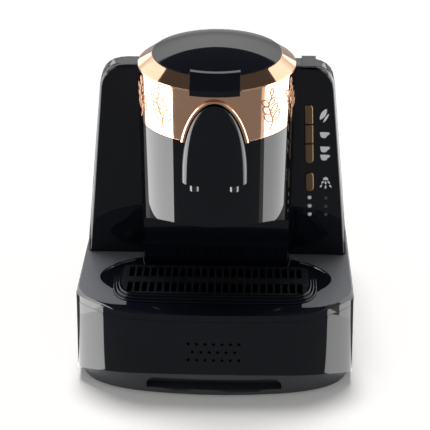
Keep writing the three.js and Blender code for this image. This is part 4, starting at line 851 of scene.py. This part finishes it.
# A flat grid is bent to the crowned front, and its rim is then extruded back to the column.
bpy.ops.object.select_all(action="DESELECT")
bpy.ops.mesh.primitive_grid_add(x_subdivisions=40, y_subdivisions=44, size=2)
shield = bpy.context.active_object
shield.name = "shield_cover"
for vertex in shield.data.vertices:
    across, up = vertex.co.x, (vertex.co.y + 1) / 2
    climb = (up - straight_share) / (1 - straight_share) * math.pi / 2
    rise = shield_straight * up / straight_share
    half = shield_half
    if up >= straight_share:
        rise = shield_straight + shield_arch * math.sin(climb)
        half = shield_half * math.cos(climb)
    across = math.sin(across * math.pi / 2)
    nose = nose_radius - nose_taper * rise / (shield_straight + shield_arch)
    edge = nose_centre - math.sqrt(max(nose ** 2 - half ** 2, 0))
    depth = edge - nose_centre + nose
    crown = max(1 - abs(across) ** crown_power, 0) ** (1 / crown_power)
    vertex.co = Vector((half * across, edge - depth * crown, shield_foot + rise)) / metre
bpy.ops.object.mode_set(mode="EDIT")
bpy.ops.mesh.select_all(action="SELECT")
bpy.ops.mesh.remove_doubles(threshold=weld)
bpy.ops.mesh.select_all(action="DESELECT")
bpy.ops.mesh.select_mode(type="EDGE")
bpy.ops.mesh.select_non_manifold()
bpy.ops.mesh.extrude_region_move()
bpy.ops.object.mode_set(mode="OBJECT")
seat_radius = head_radius + seat
for vertex in shield.data.vertices:
    if vertex.select:
        vertex.co.y = head_centre / metre - math.sqrt((seat_radius / metre) ** 2 - vertex.co.x ** 2)
bpy.ops.object.mode_set(mode="EDIT")
bpy.ops.mesh.select_all(action="SELECT")
bpy.ops.mesh.remove_doubles(threshold=weld)
bpy.ops.mesh.fill_holes(sides=0)
bpy.ops.mesh.normals_make_consistent(inside=False)
bpy.ops.object.mode_set(mode="OBJECT")
ease(shield, 0.6, 3, 50)
settle(shield, polished_black, "nozzle_shield", 40)

# Bezel. A strip of steel rolled to a half round and copper plated like the band, which frames the
# top of the shield and ends at the foot of the band.
bezel_spread = 144
bezel_steps = 60
bezel_half = 1.85
bezel_rim = 75
bezel_proud = 1.2
middle = seat + bezel_half
section = [(seat, seat_radius)]
for i in range(9):
    turn = math.pi * i / 8
    section.append((middle - bezel_half * math.cos(turn), bezel_rim + bezel_proud * math.sin(turn)))
section.append((middle + bezel_half, seat_radius))
bezel_rings = []
for i in range(bezel_steps + 1):
    turn = math.radians(90 - bezel_spread / 2 + bezel_spread * i / bezel_steps)
    bezel_rings.append([])
    for grow, reach in section:
        x = (shield_half + grow) * math.cos(turn)
        z = shield_foot + shield_straight + (shield_arch + grow) * math.sin(turn)
        bezel_rings[-1].append((x, head_centre - math.sqrt(reach ** 2 - x ** 2), z))
bezel = loft("arched_bezel", bezel_rings)
bisected(bezel, (0, 0, band_foot), (0, 0, -1))
settle(bezel, polished_copper, "shield_bezel", 50)

# Nozzles and hoses. Short smoked nozzles under the shield, and clear silicone tubes and hoses that
# are pushed onto their spigots inside.

# Smoked polycarbonate: a deep grey with a wet gloss, even but for flow marks of 20 mm.
smoked = skin_of("smoked_polycarbonate", "#1c1d20", "#24262a", 20, 0.06, 0.1)

# Silicone, extruded: milky and faintly dull, cloudy over 5 mm.
silicone = skin_of("clear_silicone", "#dfe3e0", "#e8ebe8", 5, 0.3, 0.4)
dress(smoked, "nozzle_left", "nozzle_right")
dress(silicone, "spout_tube_left", "spout_tube_right", "feed_hose", "riser_hose")

# Tower. Two glossy fascias with rolled outer edges clip onto the front of the tower housing, all
# moulded in black ABS and polished.
smoothed_copy("fascia_left", "fascia_left_moulding", polished_black, 60)
smoothed_copy("fascia_right", "fascia_right_moulding", polished_black, 60)
smoothed_copy("tower_housing", "tower_moulding", polished_black, 40)

# Water tank. The rear of the tower, moulded in smoked plastic, which lifts off its valve seat; its
# polished black lid turns on a pin and has a small tab at the right.
smoothed_copy("water_tank", "tank_moulding", smoked, 40)
smoothed_copy("tank_lid", "tank_cap_moulding", polished_black, 40)
dress(grained_black, "tank_lid_tab")
dress(zinc, "tank_lid_pin")

# Buttons and lamps. Bronze plated caps with rolled edges, which slide in the right fascia, and
# milky acrylic light guides below them.

# Satin bronze plating on ABS: a brown metal whose brushing blurs the light, drawn at 2 mm.
bronze = skin_of("satin_bronze_plate", "#6e5a45", "#78634d", 2, 0.34, 0.4, Metallic=1)
for node in ("button_slow_brew", "button_one_cup", "button_two_cups", "button_rinse"):
    button = smoothed_copy(node, node + "_cap", bronze)
    ease(button, 0.6, 2, 50)
    finish_with(button, "WEIGHTED_NORMAL", weight=60, keep_sharp=True)

# Acrylic, moulded with a white filler: milky and softly glossy, even over 10 mm.
milky = skin_of("milky_acrylic", "#eceeee", "#f4f5f5", 10, 0.3, 0.4)
dress(milky, "lamp_lens_1", "lamp_lens_2", "lamp_lens_3")

# Signs beside the buttons. One for each function, pad printed in white ink on the right fascia,
# and three faint grey marks by the lamps.
print_back = -29.9
print_front = -30.15
sign_steps = 12

# Pad printing ink: a thin flat film, matt beside the gloss, its grain drawn at 1 mm.
white_ink = skin_of("white_pad_print_ink", "#dfe1e6", "#eceef2", 1, 0.45, 0.55)
grey_ink = skin_of("grey_pad_print_ink", "#2c2e33", "#33353a", 1, 0.45, 0.55)


def leaf_sign(length, width, lean):
    """Outline of a pointed leaf or drop that leans to one side"""
    turn = math.radians(lean)
    edge = []
    for k in range(2 * sign_steps):
        share = k / sign_steps if k <= sign_steps else 2 - k / sign_steps
        side = (1 if k <= sign_steps else -1) * width / 2 * math.sin(math.pi * share) ** 0.7
        edge.append((side, (share - 0.5) * length))
    return [(x * math.cos(turn) + z * math.sin(turn), z * math.cos(turn) - x * math.sin(turn))
            for x, z in edge]


cup_sign = [(-4.6, 3), (2.2, 3), (4.3, 2.6), (4.7, 1.7), (4.1, 0.4), (2.4, -0.6), (1.7, -2.3), (0.5, -3),
            (-1.8, -3), (-3.4, -2.1), (-4.2, 0)]
rose_sign = [(2.6 * math.cos(math.pi * k / 12), 3.2 * math.sin(math.pi * k / 12) - 1.4) for k in range(13)]
mark = [(1.6 * math.cos(math.pi * k / 8), 1.9 * math.sin(math.pi * k / 8)) for k in range(16)]
drop_places = ((102.3, 182.1, 35), (105.2, 181.6, 0), (108.2, 182.1, -35),
               (100.9, 178, 35), (105.4, 177, 0), (110, 178, -35))
printed = [("sign_heat_tall", leaf_sign(12.5, 4.6, 28), 100.2, 253.7)]
printed += [("sign_heat_low", leaf_sign(10.5, 2.2, 30), 102.9, 249.8)]
printed += [("sign_cup", cup_sign, 102.3, 232.3), ("sign_cups_upper", cup_sign, 103.1, 217.2)]
printed += [("sign_cups_lower", cup_sign, 103.5, 208.6), ("sign_rinse_rose", rose_sign, 105.1, 186)]
for k, (x, z, lean) in enumerate(drop_places):
    printed.append((f"sign_rinse_drop_{k + 1}", leaf_sign(3.6, 1.9, lean), x, z))
for k, (x, z) in enumerate(((106.1, 165), (106.5, 155.7), (106.8, 146.7))):
    printed.append((f"mark_{k + 1}", mark, x, z))
for name, edge, x, z in printed:
    sign = loft(name, [[(x + dx, y, z + dz) for dx, dz in edge] for y in (print_back, print_front)])
    sign.data.materials.append(grey_ink if name.startswith("mark") else white_ink)
    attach(sign, frame["nodes"]["fascia_right"]["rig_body"])

# Works inside. Two circuit boards screwed to posts, and a pump and valves moulded in white plastic
# that the hoses join.

# Glass fibre in epoxy under green lacquer: a half-gloss green, its weave drawn at 4 mm.
laminate = skin_of("glass_epoxy_laminate", "#184a30", "#225c3e", 4, 0.4, 0.6)
dress(laminate, "power_board", "control_board")
dress(milky, "pump", "valve_seat", "tank_valve")
